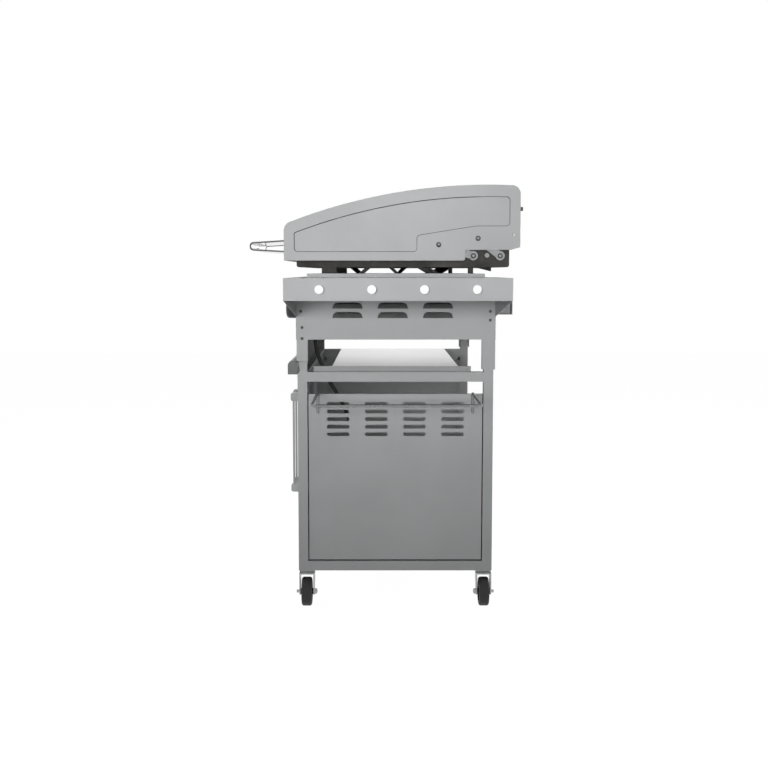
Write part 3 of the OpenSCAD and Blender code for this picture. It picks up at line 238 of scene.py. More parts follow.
# Plain coats: a colour, patches of tone or both, worn edges, and a fine grain
coats = {
    # black paint, and also the painted shade of the hood's field step, the frame screw sockets and the link
    # bolt rings
    "blackPaintAndShade": {"color": (0.035, 0.036, 0.037), "bare": (0.2, 0.2, 0.2), "wear": 0.3, "edge": 0.0006,
                   "rough": (24, 4, 0.42, 0.58), "grain": (900, 2, 0.2, 0.0003)},
    "zincSteel": {"color": (0.42, 0.425, 0.43), "tone": (160, 4, 0.8, 1.08, 0.35, 0.7), "metal": 0.95,
                  "bare": (0.6, 0.6, 0.6), "wear": 0.3, "edge": 0.0005, "rough": (60, 4, 0.3, 0.46),
                  "grain": (500, 2, 0.08, 0.0003)},
    "darkZinc": {"tone": (240, 4, (0.07, 0.071, 0.073), (0.14, 0.141, 0.144)), "bare": (0.5, 0.5, 0.5),
                 "wear": 0.5, "metal": 0.7, "edge": 0.0004, "rough": (90, 4, 0.28, 0.42)},
    "wireSteel": {"color": (0.24, 0.242, 0.245), "tone": (70, 4, 0.93, 1.06), "metal": 0.9, "edge": 0.0004,
                  "rough": (120, 3, 0.24, 0.38), "grain": (900, 2, 0.05, 0.0002)},
    "shadePaint": {"tone": (40, 4, (0.10, 0.101, 0.10), (0.15, 0.151, 0.149)), "edge": 0.0004,
                   "rough": (60, 3, 0.5, 0.65), "grain": (700, 2, 0.06, 0.0003)},
    "whiteCap": {"tone": (60, 3, (0.92, 0.92, 0.92), (0.98, 0.98, 0.98)), "edge": 0.0006,
                 "rough": (40, 3, 0.30, 0.42)},
    "brass": {"tone": (120, 4, (0.42, 0.30, 0.13), (0.60, 0.45, 0.21)), "metal": 1, "edge": 0.0005,
              "rough": (60, 3, 0.28, 0.45)},
    "blackPlastic": {"tone": (40, 4, (0.016, 0.016, 0.017), (0.026, 0.026, 0.027)), "edge": 0.0008,
                     "rough": (18, 3, 0.34, 0.46), "grain": (1500, 2, 0.12, 0.0002)},
    "hubPlastic": {"tone": (50, 4, (0.10, 0.10, 0.102), (0.14, 0.14, 0.142)), "edge": 0.0006,
                   "rough": (30, 3, 0.42, 0.55), "grain": (900, 2, 0.1, 0.0002)},
    "markPaint": {"tone": (400, 3, (0.72, 0.72, 0.70), (0.82, 0.82, 0.80)), "rough": (200, 3, 0.45, 0.6)}}


def coat(g, look):
    color = look.get("color")
    if "tone" in look:
        tone = g.patches(*look["tone"])
        color = g.tint(color, tone) if color else tone
    inputs = {"Metallic": look.get("metal", 0), "Roughness": g.patches(*look["rough"])}
    if "edge" in look:
        rounded = g.softEdge(look["edge"])
        inputs["Normal"] = g.grain(*look["grain"], rounded) if "grain" in look else rounded
        if "wear" in look:
            color = g.blend(g.worn(rounded) * look["wear"], color, look["bare"])
    g.surface({"Base Color": color, **inputs})


for name, look in coats.items():
    finish(name, coat, look)


# Drawn steel: fine lines along X; they are (scale, detail, stretch, roughness)
drawnSteels = {
    "satinHandle": {"color": (0.36, 0.362, 0.365), "lines": (80, 3, (1, 50, 50), 0.7), "tone": (0.9, 1.08),
                    "rough": (0.26, 0.36), "metal": 0.85, "edge": 0.0008, "depth": (0.06, 0.0002)},
    "darkSatin": {"color": (0.16, 0.161, 0.163), "lines": (60, 4, (1, 30, 30), 0.7), "tone": (0.88, 1.1),
                  "rough": (0.30, 0.42), "metal": 0.7, "edge": 0.001, "depth": (0.06, 0.0002),
                  "wear": 0.4, "bare": (0.4, 0.4, 0.4)},
    "mirrorSteel": {"color": (0.62, 0.62, 0.625), "lines": (40, 3, (1, 40, 40), 0.7), "tone": (0.9, 1.06),
                    "rough": (0.08, 0.11), "metal": 1}}


def drawnSteel(g, look):
    lines = g.noise(*look["lines"])
    color = g.tint(look["color"], g.vary(lines, *look["tone"]))
    inputs = {"Metallic": look["metal"], "Roughness": g.vary(lines, *look["rough"])}
    if "edge" in look:
        rounded = g.softEdge(look["edge"])
        inputs["Normal"] = g.bump(lines, *look["depth"], rounded)
        if "wear" in look:
            color = g.blend(g.worn(rounded) * look["wear"], color, look["bare"])
    g.surface({"Base Color": color, **inputs})


for name, look in drawnSteels.items():
    finish(name, drawnSteel, look)


galvanised = {"dark": (0.285, 0.287, 0.29), "light": (0.30, 0.302, 0.305), "rough": (0.20, 0.22),
              "metal": 0.4, "edge": 0.0007, "crystals": 330, "spread": (0.2, 0.8),
              "fine": (300, 3, 0.95, 1.04)}


def galvanisedSteel(g):
    crystals = g.add("ShaderNodeTexVoronoi", {"feature": "F1"},
                     {"Vector": g.place(), "Scale": galvanised["crystals"]}, output="Color")
    tone = g.vary(crystals, galvanised["dark"], galvanised["light"], *galvanised["spread"])
    g.surface({"Base Color": g.tint(tone, g.patches(*galvanised["fine"])), "Metallic": galvanised["metal"],
               "Roughness": g.vary(crystals, *galvanised["rough"], *galvanised["spread"]),
               "Normal": g.softEdge(galvanised["edge"])})


finish("galvanisedSteel", galvanisedSteel)


seasoned = {"color": (0.045, 0.044, 0.042), "stained": (0.10, 0.097, 0.09), "scraped": (0.16, 0.155, 0.15),
            "stains": (14, 6, 0, 0.6, 0.42, 0.72), "scrapes": (30, 4, (20, 1, 1)),
            "scrapeRun": (0, 0.2, 0.55, 0.8), "rough": (22, 5, 0.38, 0.62, 0.35, 0.7), "metal": 0.55,
            "edge": 0.001, "grain": (420, 4, 0.18, 0.0004)}


def griddleSteel(g):
    scrapes = g.vary(g.noise(*seasoned["scrapes"]), *seasoned["scrapeRun"])
    color = g.blend(g.patches(*seasoned["stains"]), seasoned["color"], seasoned["stained"])
    g.surface({"Base Color": g.blend(scrapes, color, seasoned["scraped"]), "Metallic": seasoned["metal"],
               "Roughness": g.patches(*seasoned["rough"]),
               "Normal": g.grain(*seasoned["grain"], g.softEdge(seasoned["edge"]))})


finish("griddleSteel", griddleSteel)


rubberLook = {"color": (0.012, 0.012, 0.012), "dusty": (0.05, 0.049, 0.047),
              "dust": (60, 5, 0, 0.5, 0.5, 0.8), "rough": 0.6, "dull": 0.2, "edge": 0.0006,
              "grain": (700, 3, 0.25, 0.0003)}


def rubber(g):
    dust = g.patches(*rubberLook["dust"])
    g.surface({"Base Color": g.blend(dust, rubberLook["color"], rubberLook["dusty"]),
               "Roughness": rubberLook["rough"] + dust * rubberLook["dull"],
               "Normal": g.grain(*rubberLook["grain"], g.softEdge(rubberLook["edge"]))})


finish("rubber", rubber)
print("finishes made:", len(finishes))


# Each record slot and its finish, and the nodes whose finish is their own
slotFinish = {"grey_paint": "greyPaint", "black_paint": "blackPaintAndShade", "brushed_steel": "darkSatin",
              "polished_steel": "satinHandle", "zinc_steel": "zincSteel",
              "galvanised_steel": "galvanisedSteel", "griddle_steel": "griddleSteel", "brass": "brass",
              "black_plastic": "blackPlastic", "rubber": "rubber", "tread": "rubber"}
nodeFinish = {"front_fascia": "linedPaint", "lid_handle": "mirrorSteel", "shelf_pegs": "whiteCap",
              "lid_hardware": "darkZinc", "frame_screws": "darkZinc", "door_hardware": "darkZinc",
              "bag_frame": "wireSteel", "tool_loops": "wireSteel", "cup_holder": "wireSteel",
              "grease_cup": "wireSteel"}
for part in frame["record"]["subparts"]:
    chosen = finishes[nodeFinish.get(part["node"], slotFinish[part["material_slot"]])]
    for materialSlot in nodes[part["node"]].material_slots:
        materialSlot.material = chosen


# Piece makers: each takes a mesh or a curve that is drawn in the frame
def keepPiece(name, data, body, look):
    piece = addObject(name, data)
    data.materials.append(finishes[look])
    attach(piece, body)
    return piece


def meshData(name, mesh):
    data = bpy.data.meshes.new(name)
    mesh.to_mesh(data)
    mesh.free()
    return data


def meshPiece(name, mesh, body, look, smooth=35):
    data = meshData(name, mesh)
    for face in data.polygons:
        face.use_smooth = True
    data.set_sharp_from_angle(angle=math.radians(smooth))
    return keepPiece(name, data, body, look)


def ringPoints(radius, steps):
    turns = [2 * math.pi * k / steps for k in range(steps)]
    return [(radius * math.cos(a), radius * math.sin(a)) for a in turns]


# Turns an outline of (radius, height) round an axis from a point
def revolve(mesh, outline, place, axis, steps):
    turn = Vector(axis).to_track_quat("Z", "Y").to_matrix()
    rings = []
    for radius, height in outline:
        points = ringPoints(radius, steps) if radius else [(0, 0)]
        rings.append([mesh.verts.new(Vector(place) + turn @ Vector((*point, height))) for point in points])
    for low, high in zip(rings, rings[1:]):
        for k in range(steps):
            n = (k + 1) % steps
            corners = [low[k % len(low)], low[n % len(low)], high[n % len(high)], high[k % len(high)]]
            unique = list(dict.fromkeys(corners))
            if len(unique) > 2:
                mesh.faces.new(unique)


def tubeCurve(name, points, radius, body, look, sides=6):
    data = bpy.data.curves.new(name, "CURVE")
    data.dimensions = "3D"
    data.bevel_depth = radius
    data.bevel_resolution = sides
    data.use_fill_caps = True
    spline = data.splines.new("POLY")
    spline.points.add(len(points) - 1)
    for target, point in zip(spline.points, points):
        target.co = (*point, 1)
    return keepPiece(name, data, body, look)


# A smooth line through points, with steps between each two
def smoothLine(points, steps):
    points = [Vector(p) for p in points]
    last = len(points) - 1
    line = []
    for i in range(last):
        a, b, c, d = (points[max(i - 1, 0)], points[i], points[i + 1], points[min(i + 2, last)])
        for k in range(steps):
            t = k / steps
            line.append(0.5 * (2 * b + (c - a) * t + (2 * a - 5 * b + 4 * c - d) * t * t
                               + (3 * b - a - 3 * c + d) * t ** 3))
    return line + [points[last]]


# Adds a bar with rounded edges to a mesh: a middle, half sizes and a turn; soft is a share of its thickness
def softBar(mesh, middle, half, turn=Matrix.Identity(3), soft=0.3):
    others = set(mesh.verts)
    made = bmesh.ops.create_cube(mesh, size=2)["verts"]
    for vert in made:
        vert.co = Vector([a * b for a, b in zip(vert.co, half)])
    edges = list({edge for vert in made for edge in vert.link_edges})
    bmesh.ops.bevel(mesh, geom=edges, offset=soft * min(half), segments=2, affect="EDGES", profile=0.5)
    for vert in mesh.verts:
        if vert not in others:
            vert.co = Vector(middle) + turn @ vert.co


# Each place on the right and its mirror on the left, with the way outwards
def bothSides(places):
    for x, y, z in places:
        for side in (1, -1):
            yield (side * x, y, z), (side, 0, 0)


# Rounds the turns of a line that are sharper than an angle; no rounding takes more than half of an edge
def roundTurns(line, radius, closed, sharp=0.35, steps=6, share=0.49):
    made = []
    last = len(line) - 1
    for i, point in enumerate(line):
        here, before, after = Vector(point), Vector(line[i - 1]), Vector(line[(i + 1) % len(line)])
        a, b = (before - here).normalized(), (after - here).normalized()
        turn = math.pi - a.angle(b)
        if turn < sharp or (not closed and i in (0, last)):
            made.append(here)
            continue
        shorter = min((before - here).length, (after - here).length)
        reach = min(radius * math.tan(turn / 2), share * shorter)
        first, final = here + a * reach, here + b * reach
        for k in range(steps + 1):
            t = k / steps
            made.append((1 - t) ** 2 * first + 2 * t * (1 - t) * here + t ** 2 * final)
    return made


# Adds a tube whose middle line lies in a plane across X, with a radius for each point
def flatTube(mesh, line, radii, closed, sides=10):
    line = [Vector(p) for p in line]
    last = len(line) - 1
    loops = []
    for i, point in enumerate(line):
        before = line[i - 1] if closed or i else point
        after = line[(i + 1) % len(line)] if closed or i < last else point
        out = (after - before).normalized().cross(Vector((1, 0, 0)))
        loops.append([mesh.verts.new(point + Vector((across, 0, 0)) + up * out)
                      for across, up in ringPoints(radii[i], sides)])
    for i in range(len(loops) if closed else last):
        near, far = loops[i], loops[(i + 1) % len(loops)]
        for k in range(sides):
            mesh.faces.new((near[k], near[(k + 1) % sides], far[(k + 1) % sides], far[k]))
    if not closed:
        mesh.faces.new(loops[0])
        mesh.faces.new(loops[-1])
    bmesh.ops.recalc_face_normals(mesh, faces=mesh.faces)


# Hood: painted shade of the pressed field's step, a fine dark line, heavier along the top where the step lies
# in shadow
fieldLine = {"plane": 0.4585, "proud": 0.0001, "thin": 0.0009, "thick": 0.0018, "minLength": 0.5,
             "archFront": 0.95, "archRise": 0.22, "archEnd": 0.31, "frontBand": 0.028, "corner": 0.012,
             "merge": 1e-6, "flat": 1e-4, "upright": 0.9, "smooth": 60}


# For each point of the step at a plane, the points beside it
def stepNeighbours(mesh, plane):
    near = {}
    for edge in mesh.edges:
        flat = all(abs(vert.co.x - plane) < fieldLine["flat"] for vert in edge.verts)
        faces = [abs(face.normal.x) > fieldLine["upright"] for face in edge.link_faces]
        if flat and len(faces) == 2 and faces[0] != faces[1]:
            a, b = edge.verts
            for here, there in ((a, b), (b, a)):
                near.setdefault(here.index, []).append((there.index, there.co.copy()))
    return near


def planeLoops(node, plane):
    mesh = bmesh.new()
    mesh.from_mesh(node.data)
    bmesh.ops.remove_doubles(mesh, verts=mesh.verts, dist=fieldLine["merge"])
    near = stepNeighbours(mesh, plane)
    mesh.free()
    loops, seen = [], set()
    for start in near:
        line, spot = [], start
        while spot not in seen:
            seen.add(spot)
            following = [item for item in near[spot] if item[0] not in seen]
            if following:
                spot = following[0][0]
                line.append(following[0][1])
        if line:
            loops.append(line)
    return loops


# Whether a point lies along the field's front or its long arch
def onArch(point, front):
    high = fieldLine["archFront"] + fieldLine["archRise"] * (point.y - front)
    return point.y < front + fieldLine["frontBand"] or (point.z > high and point.y < fieldLine["archEnd"])


def makeFieldLines():
    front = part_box("lid_ends")[0][1]
    for name, side in (("Right", 1), ("Left", -1)):
        rims = [loop for loop in planeLoops(nodes["lid_ends"], side * fieldLine["plane"])
                if max(p.y for p in loop) - min(p.y for p in loop) > fieldLine["minLength"]]
        rim = min(rims, key=lambda loop: max(p.z for p in loop))
        line = roundTurns(rim, fieldLine["corner"], True)
        radii = [fieldLine["thick"] if onArch(p, front) else fieldLine["thin"] for p in line]
        out = fieldLine["plane"] + fieldLine["proud"]
        mesh = bmesh.new()
        flatTube(mesh, [(side * (out - radius), p.y, p.z) for p, radius in zip(line, radii)], radii, True)
        meshPiece("fieldLine" + name, mesh, "lid", "blackPaintAndShade", fieldLine["smooth"])


makeFieldLines()


# Hood handle: a rolled hem along each cut edge in painted shade, a dark outline; its faces polished
hem = {"x": 0.2098, "radius": 0.0022, "hood": -0.2545, "tip": -0.3683, "high": 0.958, "low": 0.922,
       "taper": (0.007, 0.006), "corner": 0.011, "smooth": 60}


def makeHems():
    r = hem["radius"]
    upper, lower = hem["taper"]
    tip, high, low = hem["tip"] + r, hem["high"] - r, hem["low"] + r
    for name, x in (("Right", hem["x"]), ("Left", -hem["x"])):
        corners = [(x, hem["hood"], high), (x, tip, high - upper), (x, tip, low + lower),
                   (x, hem["hood"], low)]
        line = roundTurns(corners, hem["corner"] - r, False)
        mesh = bmesh.new()
        flatTube(mesh, line, [r] * len(line), False)
        meshPiece("handleHem" + name, mesh, "lid", "shadePaint", hem["smooth"])


makeHems()
print("hood lines made")


# Frame screws: painted shade of a six-sided socket, a dark piece on each head that shows
socketShades = {"radius": 0.0027, "lift": 0.0002, "bottom": 0.8, "rim": 1.15, "sides": 6,
           "places": [(0.4616, -0.208, 0.6985), (0.4616, -0.208, 0.72725), (0.4643, -0.2105, 0.76868),
                      (0.4643, 0.2752, 0.76868), (0.4628, 0.2752, 0.74588)]}


def makeSockets():
    r, lift = socketShades["radius"], socketShades["lift"]
    outline = [(0, -lift), (r * socketShades["bottom"], -lift), (r, lift), (r * socketShades["rim"], lift),
               (r * socketShades["rim"], -2 * lift)]
    mesh = bmesh.new()
    for spot, out in bothSides(socketShades["places"]):
        revolve(mesh, outline, spot, out, socketShades["sides"])
    meshPiece("frameSocketShades", mesh, "cart", "blackPaintAndShade")


makeSockets()


# Link bolts: painted shade, a dark ring round each head
boltShadeRings = {"inner": 0.0034, "outer": 0.0066, "rise": 0.0002, "steps": 32,
             "places": [(0.4567, 0.2312, 0.9102), (0.4567, 0.2997, 0.9102)]}


def makeBoltRings():
    inner, outer, rise = boltShadeRings["inner"], boltShadeRings["outer"], boltShadeRings["rise"]
    outline = [(inner, -rise), (inner, rise), (outer, rise), (outer, -rise)]
    mesh = bmesh.new()
    for spot, out in bothSides(boltShadeRings["places"]):
        revolve(mesh, outline, spot, out, boltShadeRings["steps"])
    meshPiece("boltShadeRings", mesh, "griddle", "blackPaintAndShade")


makeBoltRings()


# Domed heads: screws and rivets of the hood, and the link bolts' inner domes; the domes on the dark screw and
# bolt heads are lighter, a painted highlight
domes = {"lidScrewHighlights": {"body": "lid", "look": "zincSteel", "radius": 0.0030, "rise": 0.0012,
                           "places": [(0.4611, 0.1424, 0.9384), (0.4611, 0.2424, 0.9544)]},
         "boltHighlights": {"body": "griddle", "look": "zincSteel", "radius": 0.0029, "rise": 0.0007,
                       "places": [(0.4559, 0.2312, 0.9102), (0.4559, 0.2997, 0.9102)]},
         "rearRivets": {"body": "lid", "look": "whiteCap", "radius": 0.0020, "rise": 0.0009,
                        "places": [(0.4585, 0.3340, 0.9628)]}}
# The outline is in shares of radius and rise
domeShape = {"steps": 20, "outline": [(0, 1), (0.5, 0.87), (0.85, 0.5), (1, 0), (1, -1)]}


def dome(mesh, spot, radius, rise, axis):
    outline = [(radius * across, rise * up) for across, up in domeShape["outline"]]
    revolve(mesh, outline, spot, axis, domeShape["steps"])


def makeDomes():
    for name, head in domes.items():
        mesh = bmesh.new()
        for spot, out in bothSides(head["places"]):
            dome(mesh, spot, head["radius"], head["rise"], out)
        meshPiece(name, mesh, head["body"], head["look"])


makeDomes()


# A row of rivets on the inside of the left side panel
panelRivets = {"x": -0.4508, "ys": (-0.131, -0.044, 0.043, 0.130, 0.217), "z": 0.4754, "radius": 0.0028,
               "rise": 0.0014}


def makePanelRivets():
    mesh = bmesh.new()
    for y in panelRivets["ys"]:
        spot = (panelRivets["x"], y, panelRivets["z"])
        dome(mesh, spot, panelRivets["radius"], panelRivets["rise"], (1, 0, 0))
    meshPiece("panelRivets", mesh, "cart", "zincSteel")


makePanelRivets()
print("screws and rivets made")


# Louvres: a pressed rim with round shoulders, and painted shade: a dark sheet on the inner slope
louvre = {"half": 0.0405, "high": 0.016, "lean": 0.0036, "shoulder": 0.0125, "squeeze": 0.92, "rim": 0.0022,
          "thick": 0.0004, "depth": 0.0108, "cut": 0.00405, "inset": 0.0005, "lift": 0.0009, "shadeSheet": 0.0003,
          "skin": 0.4608, "middle": 0.0251, "pitch": 0.116, "low": 0.7507, "rise": 0.0243, "steps": 8}


def roundShoulders(half, high, lean, radius):
    line = [(-half, 0)]
    for side in (-1, 1):
        centre = side * (half - lean - louvre["squeeze"] * radius)
        first = math.pi if side < 0 else math.pi / 2
        for k in range(louvre["steps"] + 1):
            a = first - math.pi / 2 * k / louvre["steps"]
            line.append((centre + radius * math.cos(a), high - radius + radius * math.sin(a)))
    return line + [(half, 0)]


def louvreRim(mesh, side, y0, z0):
    half, high, lean, rim, thick = (louvre[key] for key in ("half", "high", "lean", "rim", "thick"))
    inner = roundShoulders(half, high, lean, louvre["shoulder"])
    outer = roundShoulders(half + rim, high + rim, lean, rim * 2)
    loops = []
    for out, line in ((0, outer), (thick, outer), (thick, inner), (-thick * 2, inner)):
        loops.append([mesh.verts.new((side * (louvre["skin"] + out), y0 + y, z0 + z)) for y, z in line])
    for near, far in zip(loops, loops[1:]):
        for k in range(len(near) - 1):
            mesh.faces.new((near[k], near[k + 1], far[k + 1], far[k]))


def louvreLiner(mesh, side, y0, z0):
    wide, depth = louvre["half"] - louvre["inset"], louvre["depth"]
    narrow = wide - louvre["cut"]
    for lift in (louvre["lift"], louvre["lift"] + louvre["shadeSheet"]):
        corners = [(0, wide, 0), (0, -wide, 0), (depth, -narrow, depth), (depth, narrow, depth)]
        mesh.faces.new([mesh.verts.new((side * (louvre["skin"] - deep), y0 + y, z0 + z + lift))
                        for deep, y, z in corners])


def makeLouvres():
    for name, side in (("Right", 1), ("Left", -1)):
        rim, shadeSheet = bmesh.new(), bmesh.new()
        for column in (-1, 0, 1):
            for row in (0, 1):
                spot = (louvre["middle"] + column * louvre["pitch"], louvre["low"] + row * louvre["rise"])
                louvreRim(rim, side, *spot)
                louvreLiner(shadeSheet, side, *spot)
        for mesh in (rim, shadeSheet):
            bmesh.ops.recalc_face_normals(mesh, faces=mesh.faces)
        meshPiece("louvreRims" + name, rim, "cart", "greyPaint")
        meshPiece("louvreLiners" + name, shadeSheet, "cart", "shadePaint")


makeLouvres()
print("louvres made")


# Side panels: a strip closes the gap round each, with a flange behind the panel's fold; on the right it is
# black rubber, painted shade for the dark gap line
gapStrip = {"x": (0.4405, 0.4465), "flange": (0.4382, 0.4397), "width": 0.009, "y": (-0.1955, 0.2597),
        "gap": 0.0025, "low": 0.1150, "foot": 0.1196, "panelLow": 0.1180, "topGap": 0.006, "soft": 0.0003,
        "Right": {"side": 1, "top": 0.5546, "look": "rubber", "slot": "tread"},
        "Left": {"side": -1, "top": 0.5840, "look": "greyPaint", "slot": "grey_paint"}}


def sealBar(mesh, side, xs, ys, zs):
    ends = [(side * xs[0], ys[0], zs[0]), (side * xs[1], ys[1], zs[1])]
    middle = [(a + b) / 2 for a, b in zip(*ends)]
    half = [abs(b - a) / 2 for a, b in zip(*ends)]
    softBar(mesh, middle, half, soft=gapStrip["soft"] / min(half))


def makeSeals():
    front, rear = gapStrip["y"]
    gap, width = gapStrip["gap"], gapStrip["width"]
    for name in ("Right", "Left"):
        side, top = gapStrip[name]["side"], gapStrip[name]["top"]
        upright = (gapStrip["foot"], top)
        bars = [(gapStrip["x"], (front, front + gap), upright), (gapStrip["x"], (rear - gap, rear), upright),
                (gapStrip["flange"], (front, front + width), upright),
                (gapStrip["flange"], (rear - width, rear), upright),
                (gapStrip["x"], (front, rear), (gapStrip["low"], gapStrip["panelLow"]))]
        if name == "Left":
            bars.append((gapStrip["x"], (front, rear), (top, top + gapStrip["topGap"])))
            bars.append((gapStrip["flange"], (front, rear), (top - width, top + width)))
        mesh = bmesh.new()
        for bar in bars:
            sealBar(mesh, side, *bar)
        meshPiece("panelSeal" + name, mesh, "cart", gapStrip[name]["look"])


makeSeals()
print("seals made")


# Knobs: a steel ring and a pointer on each, and generic marks round them on the panel
dial = {"xs": (-0.336, -0.112, 0.112, 0.336), "z": 0.774, "face": -0.2566, "panel": -0.2233,
        "ring": (0.0165, 0.0195), "rise": 0.0006, "soft": 0.0003, "shoulder": 0.7, "steps": 40,
        "pointer": (0.0011, 0.0058), "pointerAt": 0.0105, "marks": 9, "sweep": 180, "markAt": 0.0335,
        "mark": (0.0006, 0.0002, 0.0020), "longEvery": 4, "longBy": 1.5}


def knobRing(x):
    inner, outer = dial["ring"]
    rise, soft = dial["rise"], dial["soft"]
    low = rise * dial["shoulder"]
    ring = bmesh.new()
    revolve(ring, [(inner, -rise), (inner, low), (inner + soft, rise), (outer - soft, rise), (outer, low),
                   (outer, -rise)], (x, dial["face"], dial["z"]), (0, -1, 0), dial["steps"])
    return ring


def knobPointer(x):
    pointer = bmesh.new()
    wide, long = dial["pointer"]
    softBar(pointer, (x, dial["face"], dial["z"] + dial["pointerAt"]), (wide, dial["rise"], long))
    return pointer


def makeKnobs():
    for i, x in enumerate(dial["xs"], 1):
        meshPiece("knobRing" + str(i), knobRing(x), "knob_" + str(i), "satinHandle")
        meshPiece("knobPointer" + str(i), knobPointer(x), "knob_" + str(i), "markPaint")
    marks = bmesh.new()
    for x in dial["xs"]:
        for k in range(dial["marks"]):
            turn = Matrix.Rotation(math.radians(dial["sweep"] * k / (dial["marks"] - 1)), 3, "Y")
            out = turn @ Vector((0, 0, dial["markAt"]))
            wide, thick, long = dial["mark"]
            long *= 1 if k % dial["longEvery"] else dial["longBy"]
            softBar(marks, (x + out.x, dial["panel"], dial["z"] + out.z), (wide, thick, long), turn)
    meshPiece("dialMarks", marks, "cart", "markPaint")


makeKnobs()
print("knob details made")


# Wheels: grey hub faces with ribs in the tyre's hollow sides
wheelSpots = {"wheel_front_left": (-0.4235, -0.1985), "wheel_front_right": (0.4675, -0.1985),
              "wheel_rear_left": (-0.4235, 0.2627), "wheel_rear_right": (0.4675, 0.2627)}
hub = {"z": 0.0375, "inner": 0.0084, "outer": 0.0243, "low": 0.0075, "top": 0.0108, "web": 0.0006,
       "innerLip": (0.0016, 0.0020), "outerLip": (0.0010, 0.0016), "steps": 40, "ribs": 6, "rib": 0.0011,
       "ribGap": (0.0002, 0.0006)}


def hubOutline():
    inner, outer, low, top = hub["inner"], hub["outer"], hub["low"], hub["top"]
    web = low + hub["web"]
    innerTop, innerFoot = hub["innerLip"]
    outerTop, outerFoot = hub["outerLip"]
    return [(inner, low), (inner, top), (inner + innerTop, top), (inner + innerFoot, web),
            (outer - outerFoot, web), (outer - outerTop, top), (outer, top), (outer, low)]


def hubRib(mesh, x, y, turn):
    reach = (hub["outer"] - hub["inner"]) / 2
    out = turn @ Vector((0, 0, hub["inner"] + reach))
    acrossGap, alongGap = hub["ribGap"]
    half = (hub["rib"], (hub["top"] - hub["low"]) / 2 - acrossGap, reach - alongGap)
    softBar(mesh, (x + out.x, y, hub["z"] + out.z), half, turn)


def makeHubs():
    for name, (x, y) in wheelSpots.items():
        mesh = bmesh.new()
        for side in (1, -1):
            revolve(mesh, hubOutline(), (x, y, hub["z"]), (0, side, 0), hub["steps"])
            for k in range(hub["ribs"]):
                turn = Matrix.Rotation(2 * math.pi * k / hub["ribs"], 3, "Y")
                hubRib(mesh, x, y + side * (hub["low"] + hub["top"]) / 2, turn)
        meshPiece(name.replace("wheel_", "hub_"), mesh, name, "hubPlastic")


makeHubs()
print("hubs made")


# Gas hose: from the manifold's nipple down to the regulator on the cabinet's floor
hoseRoute = [(0.385, -0.178, 0.7225), (0.385, -0.178, 0.706), (0.385, -0.178, 0.690), (0.385, -0.174, 0.662),
             (0.384, -0.165, 0.634), (0.383, -0.153, 0.604), (0.382, -0.137, 0.574), (0.381, -0.118, 0.542),
             (0.380, -0.098, 0.500), (0.380, -0.080, 0.452), (0.380, -0.066, 0.396), (0.380, -0.056, 0.336),
             (0.380, -0.050, 0.276), (0.380, -0.044, 0.222), (0.380, -0.034, 0.178), (0.380, -0.016, 0.146),
             (0.379, 0.012, 0.126), (0.378, 0.050, 0.1216), (0.376, 0.095, 0.1216), (0.370, 0.135, 0.1216),
             (0.356, 0.165, 0.123), (0.338, 0.180, 0.127), (0.318, 0.187, 0.133), (0.300, 0.188, 0.137),
             (0.287, 0.188, 0.138), (0.274, 0.188, 0.138)]
hoseSizes = {"radius": 0.005, "length": 0.890, "steps": 8}
crimp = {"radius": 0.0066, "length": 0.022, "steps": 24,
         "outline": [(0, 0), (1, 0), (1, 0.2), (0.92, 0.3), (1, 0.4), (0.92, 0.6), (1, 0.7), (1, 0.95)]}


def makeHose():
    line = smoothLine(hoseRoute, hoseSizes["steps"])
    hose = tubeCurve("hoseRubber", line, hoseSizes["radius"], "cart", "rubber")
    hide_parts("gas_hose")
    outline = [(crimp["radius"] * across, crimp["length"] * along) for across, along in crimp["outline"]]
    outline += [(hoseSizes["radius"], crimp["length"]), (0, crimp["length"])]
    mesh = bmesh.new()
    revolve(mesh, outline, hoseRoute[0], (0, 0, -1), crimp["steps"])
    revolve(mesh, outline, hoseRoute[-1], (1, 0, 0), crimp["steps"])
    crimps = meshPiece("hoseCrimps", mesh, "cart", "brass")


makeHose()
print("hose made")


# Studio: a floor and a surround that look white, and soft lamps
white = (1, 1, 1)
studio = {"floor": 9.0, "fill": 0.17, "glow": 0.97, "floorColor": (0.13, 0.13, 0.13)}


# 1 for what the camera sees, straight on or in metal and glass
def seenRay(g):
    camera, glossy, through = (g.add("ShaderNodeLightPath", output=name)
                               for name in ("Is Camera Ray", "Is Glossy Ray", "Is Transmission Ray"))
    return camera.sum("MAXIMUM", camera.sum("MAXIMUM", camera, glossy), through)


def makeSurround():
    world = bpy.data.worlds.new("surround")
    bpy.context.scene.world = world
    world.use_nodes = True
    g = Graph(world.node_tree)
    lit = g.add("ShaderNodeBackground", {}, {"Color": white, "Strength": studio["fill"]})
    seen = g.add("ShaderNodeBackground", {}, {"Color": white, "Strength": 1})
    both = g.add("ShaderNodeMixShader", {}, {0: seenRay(g), 1: lit, 2: seen})
    g.add("ShaderNodeOutputWorld", {}, {"Surface": both})


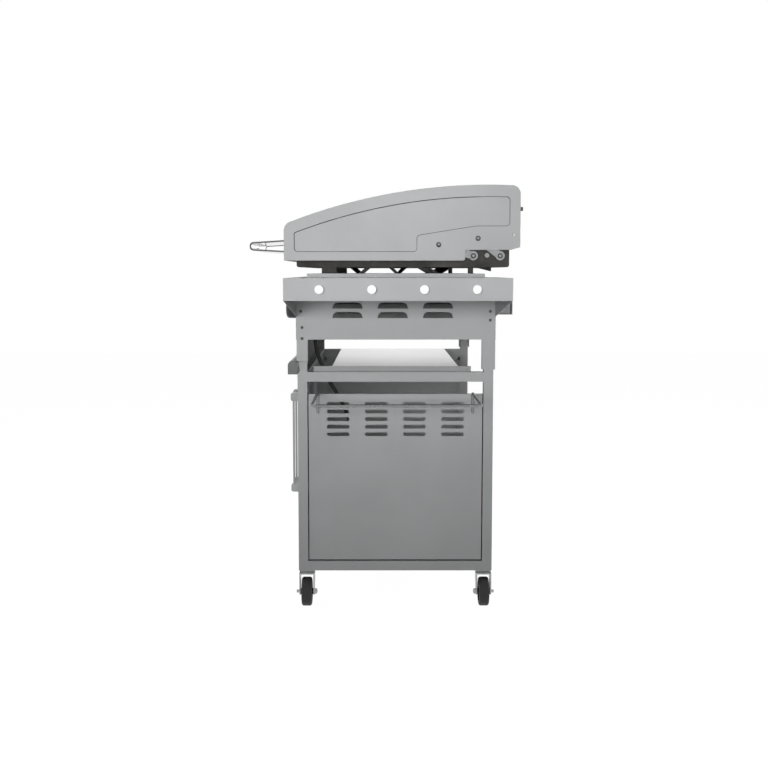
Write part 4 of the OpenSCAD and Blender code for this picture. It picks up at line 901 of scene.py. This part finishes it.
def paleFloor(g):
    matt = g.add("ShaderNodeBsdfDiffuse", {}, {"Color": studio["floorColor"]})
    glow = g.add("ShaderNodeEmission", {}, {"Color": white, "Strength": studio["glow"]})
    seen = g.add("ShaderNodeAddShader", {}, {0: matt, 1: glow})
    both = g.add("ShaderNodeMixShader", {}, {0: seenRay(g), 1: matt, 2: seen})
    g.add("ShaderNodeOutputMaterial", {}, {"Surface": both})


def makeFloor():
    half = studio["floor"]
    mesh = bmesh.new()
    corners = ((-half, -half), (half, -half), (half, half), (-half, half))
    mesh.faces.new([mesh.verts.new((x, y, 0)) for x, y in corners])
    floor = addObject("floor", meshData("floor", mesh))
    finish("paleFloor", paleFloor)
    floor.data.materials.append(finishes["paleFloor"])


# Metal shows only the lamp that gleams
lamps = {
    "side": {"place": (4.4, -0.5, 1.05), "aim": (0.4, 0, 1.2), "size": (1.8, 0.6), "spread": 43, "power": 11},
    "left": {"place": (-4.4, 0.5, 1.2), "aim": (-0.4, 0, 1.1), "size": (1.8, 0.6), "spread": 60, "power": 7},
    "grazing": {"place": (-4.4, 0.1, 0.85), "aim": (-0.4, 0.05, 0.7), "size": (0.9, 0.4), "spread": 24,
                "power": 0.02, "gleams": True},
    "top": {"place": (0.3, -0.5, 3.2), "aim": (0, 0, 0.8), "size": (2.6, 2.6), "spread": 180, "power": 12},
    "front": {"place": (-0.5, -4, 1.6), "aim": (0, 0, 0.9), "size": (2.6, 1.2), "spread": 90, "power": 18},
    "back": {"place": (-0.8, 4, 1.6), "aim": (0, 0, 0.9), "size": (2.6, 1.2), "spread": 90, "power": 20}}


def makeLamps():
    for name, lamp in lamps.items():
        light = bpy.data.lights.new(name, "AREA")
        light.shape = "RECTANGLE"
        light.size, light.size_y = lamp["size"]
        light.energy = lamp["power"]
        light.spread = math.radians(lamp["spread"])
        holder = addObject(name, light)
        holder.location = lamp["place"]
        way = Vector(lamp["aim"]) - Vector(lamp["place"])
        holder.rotation_euler = way.to_track_quat("-Z", "Y").to_euler()
        holder.visible_camera = False
        holder.visible_glossy = lamp.get("gleams", False)


makeSurround()
makeFloor()
makeLamps()
print("studio made")
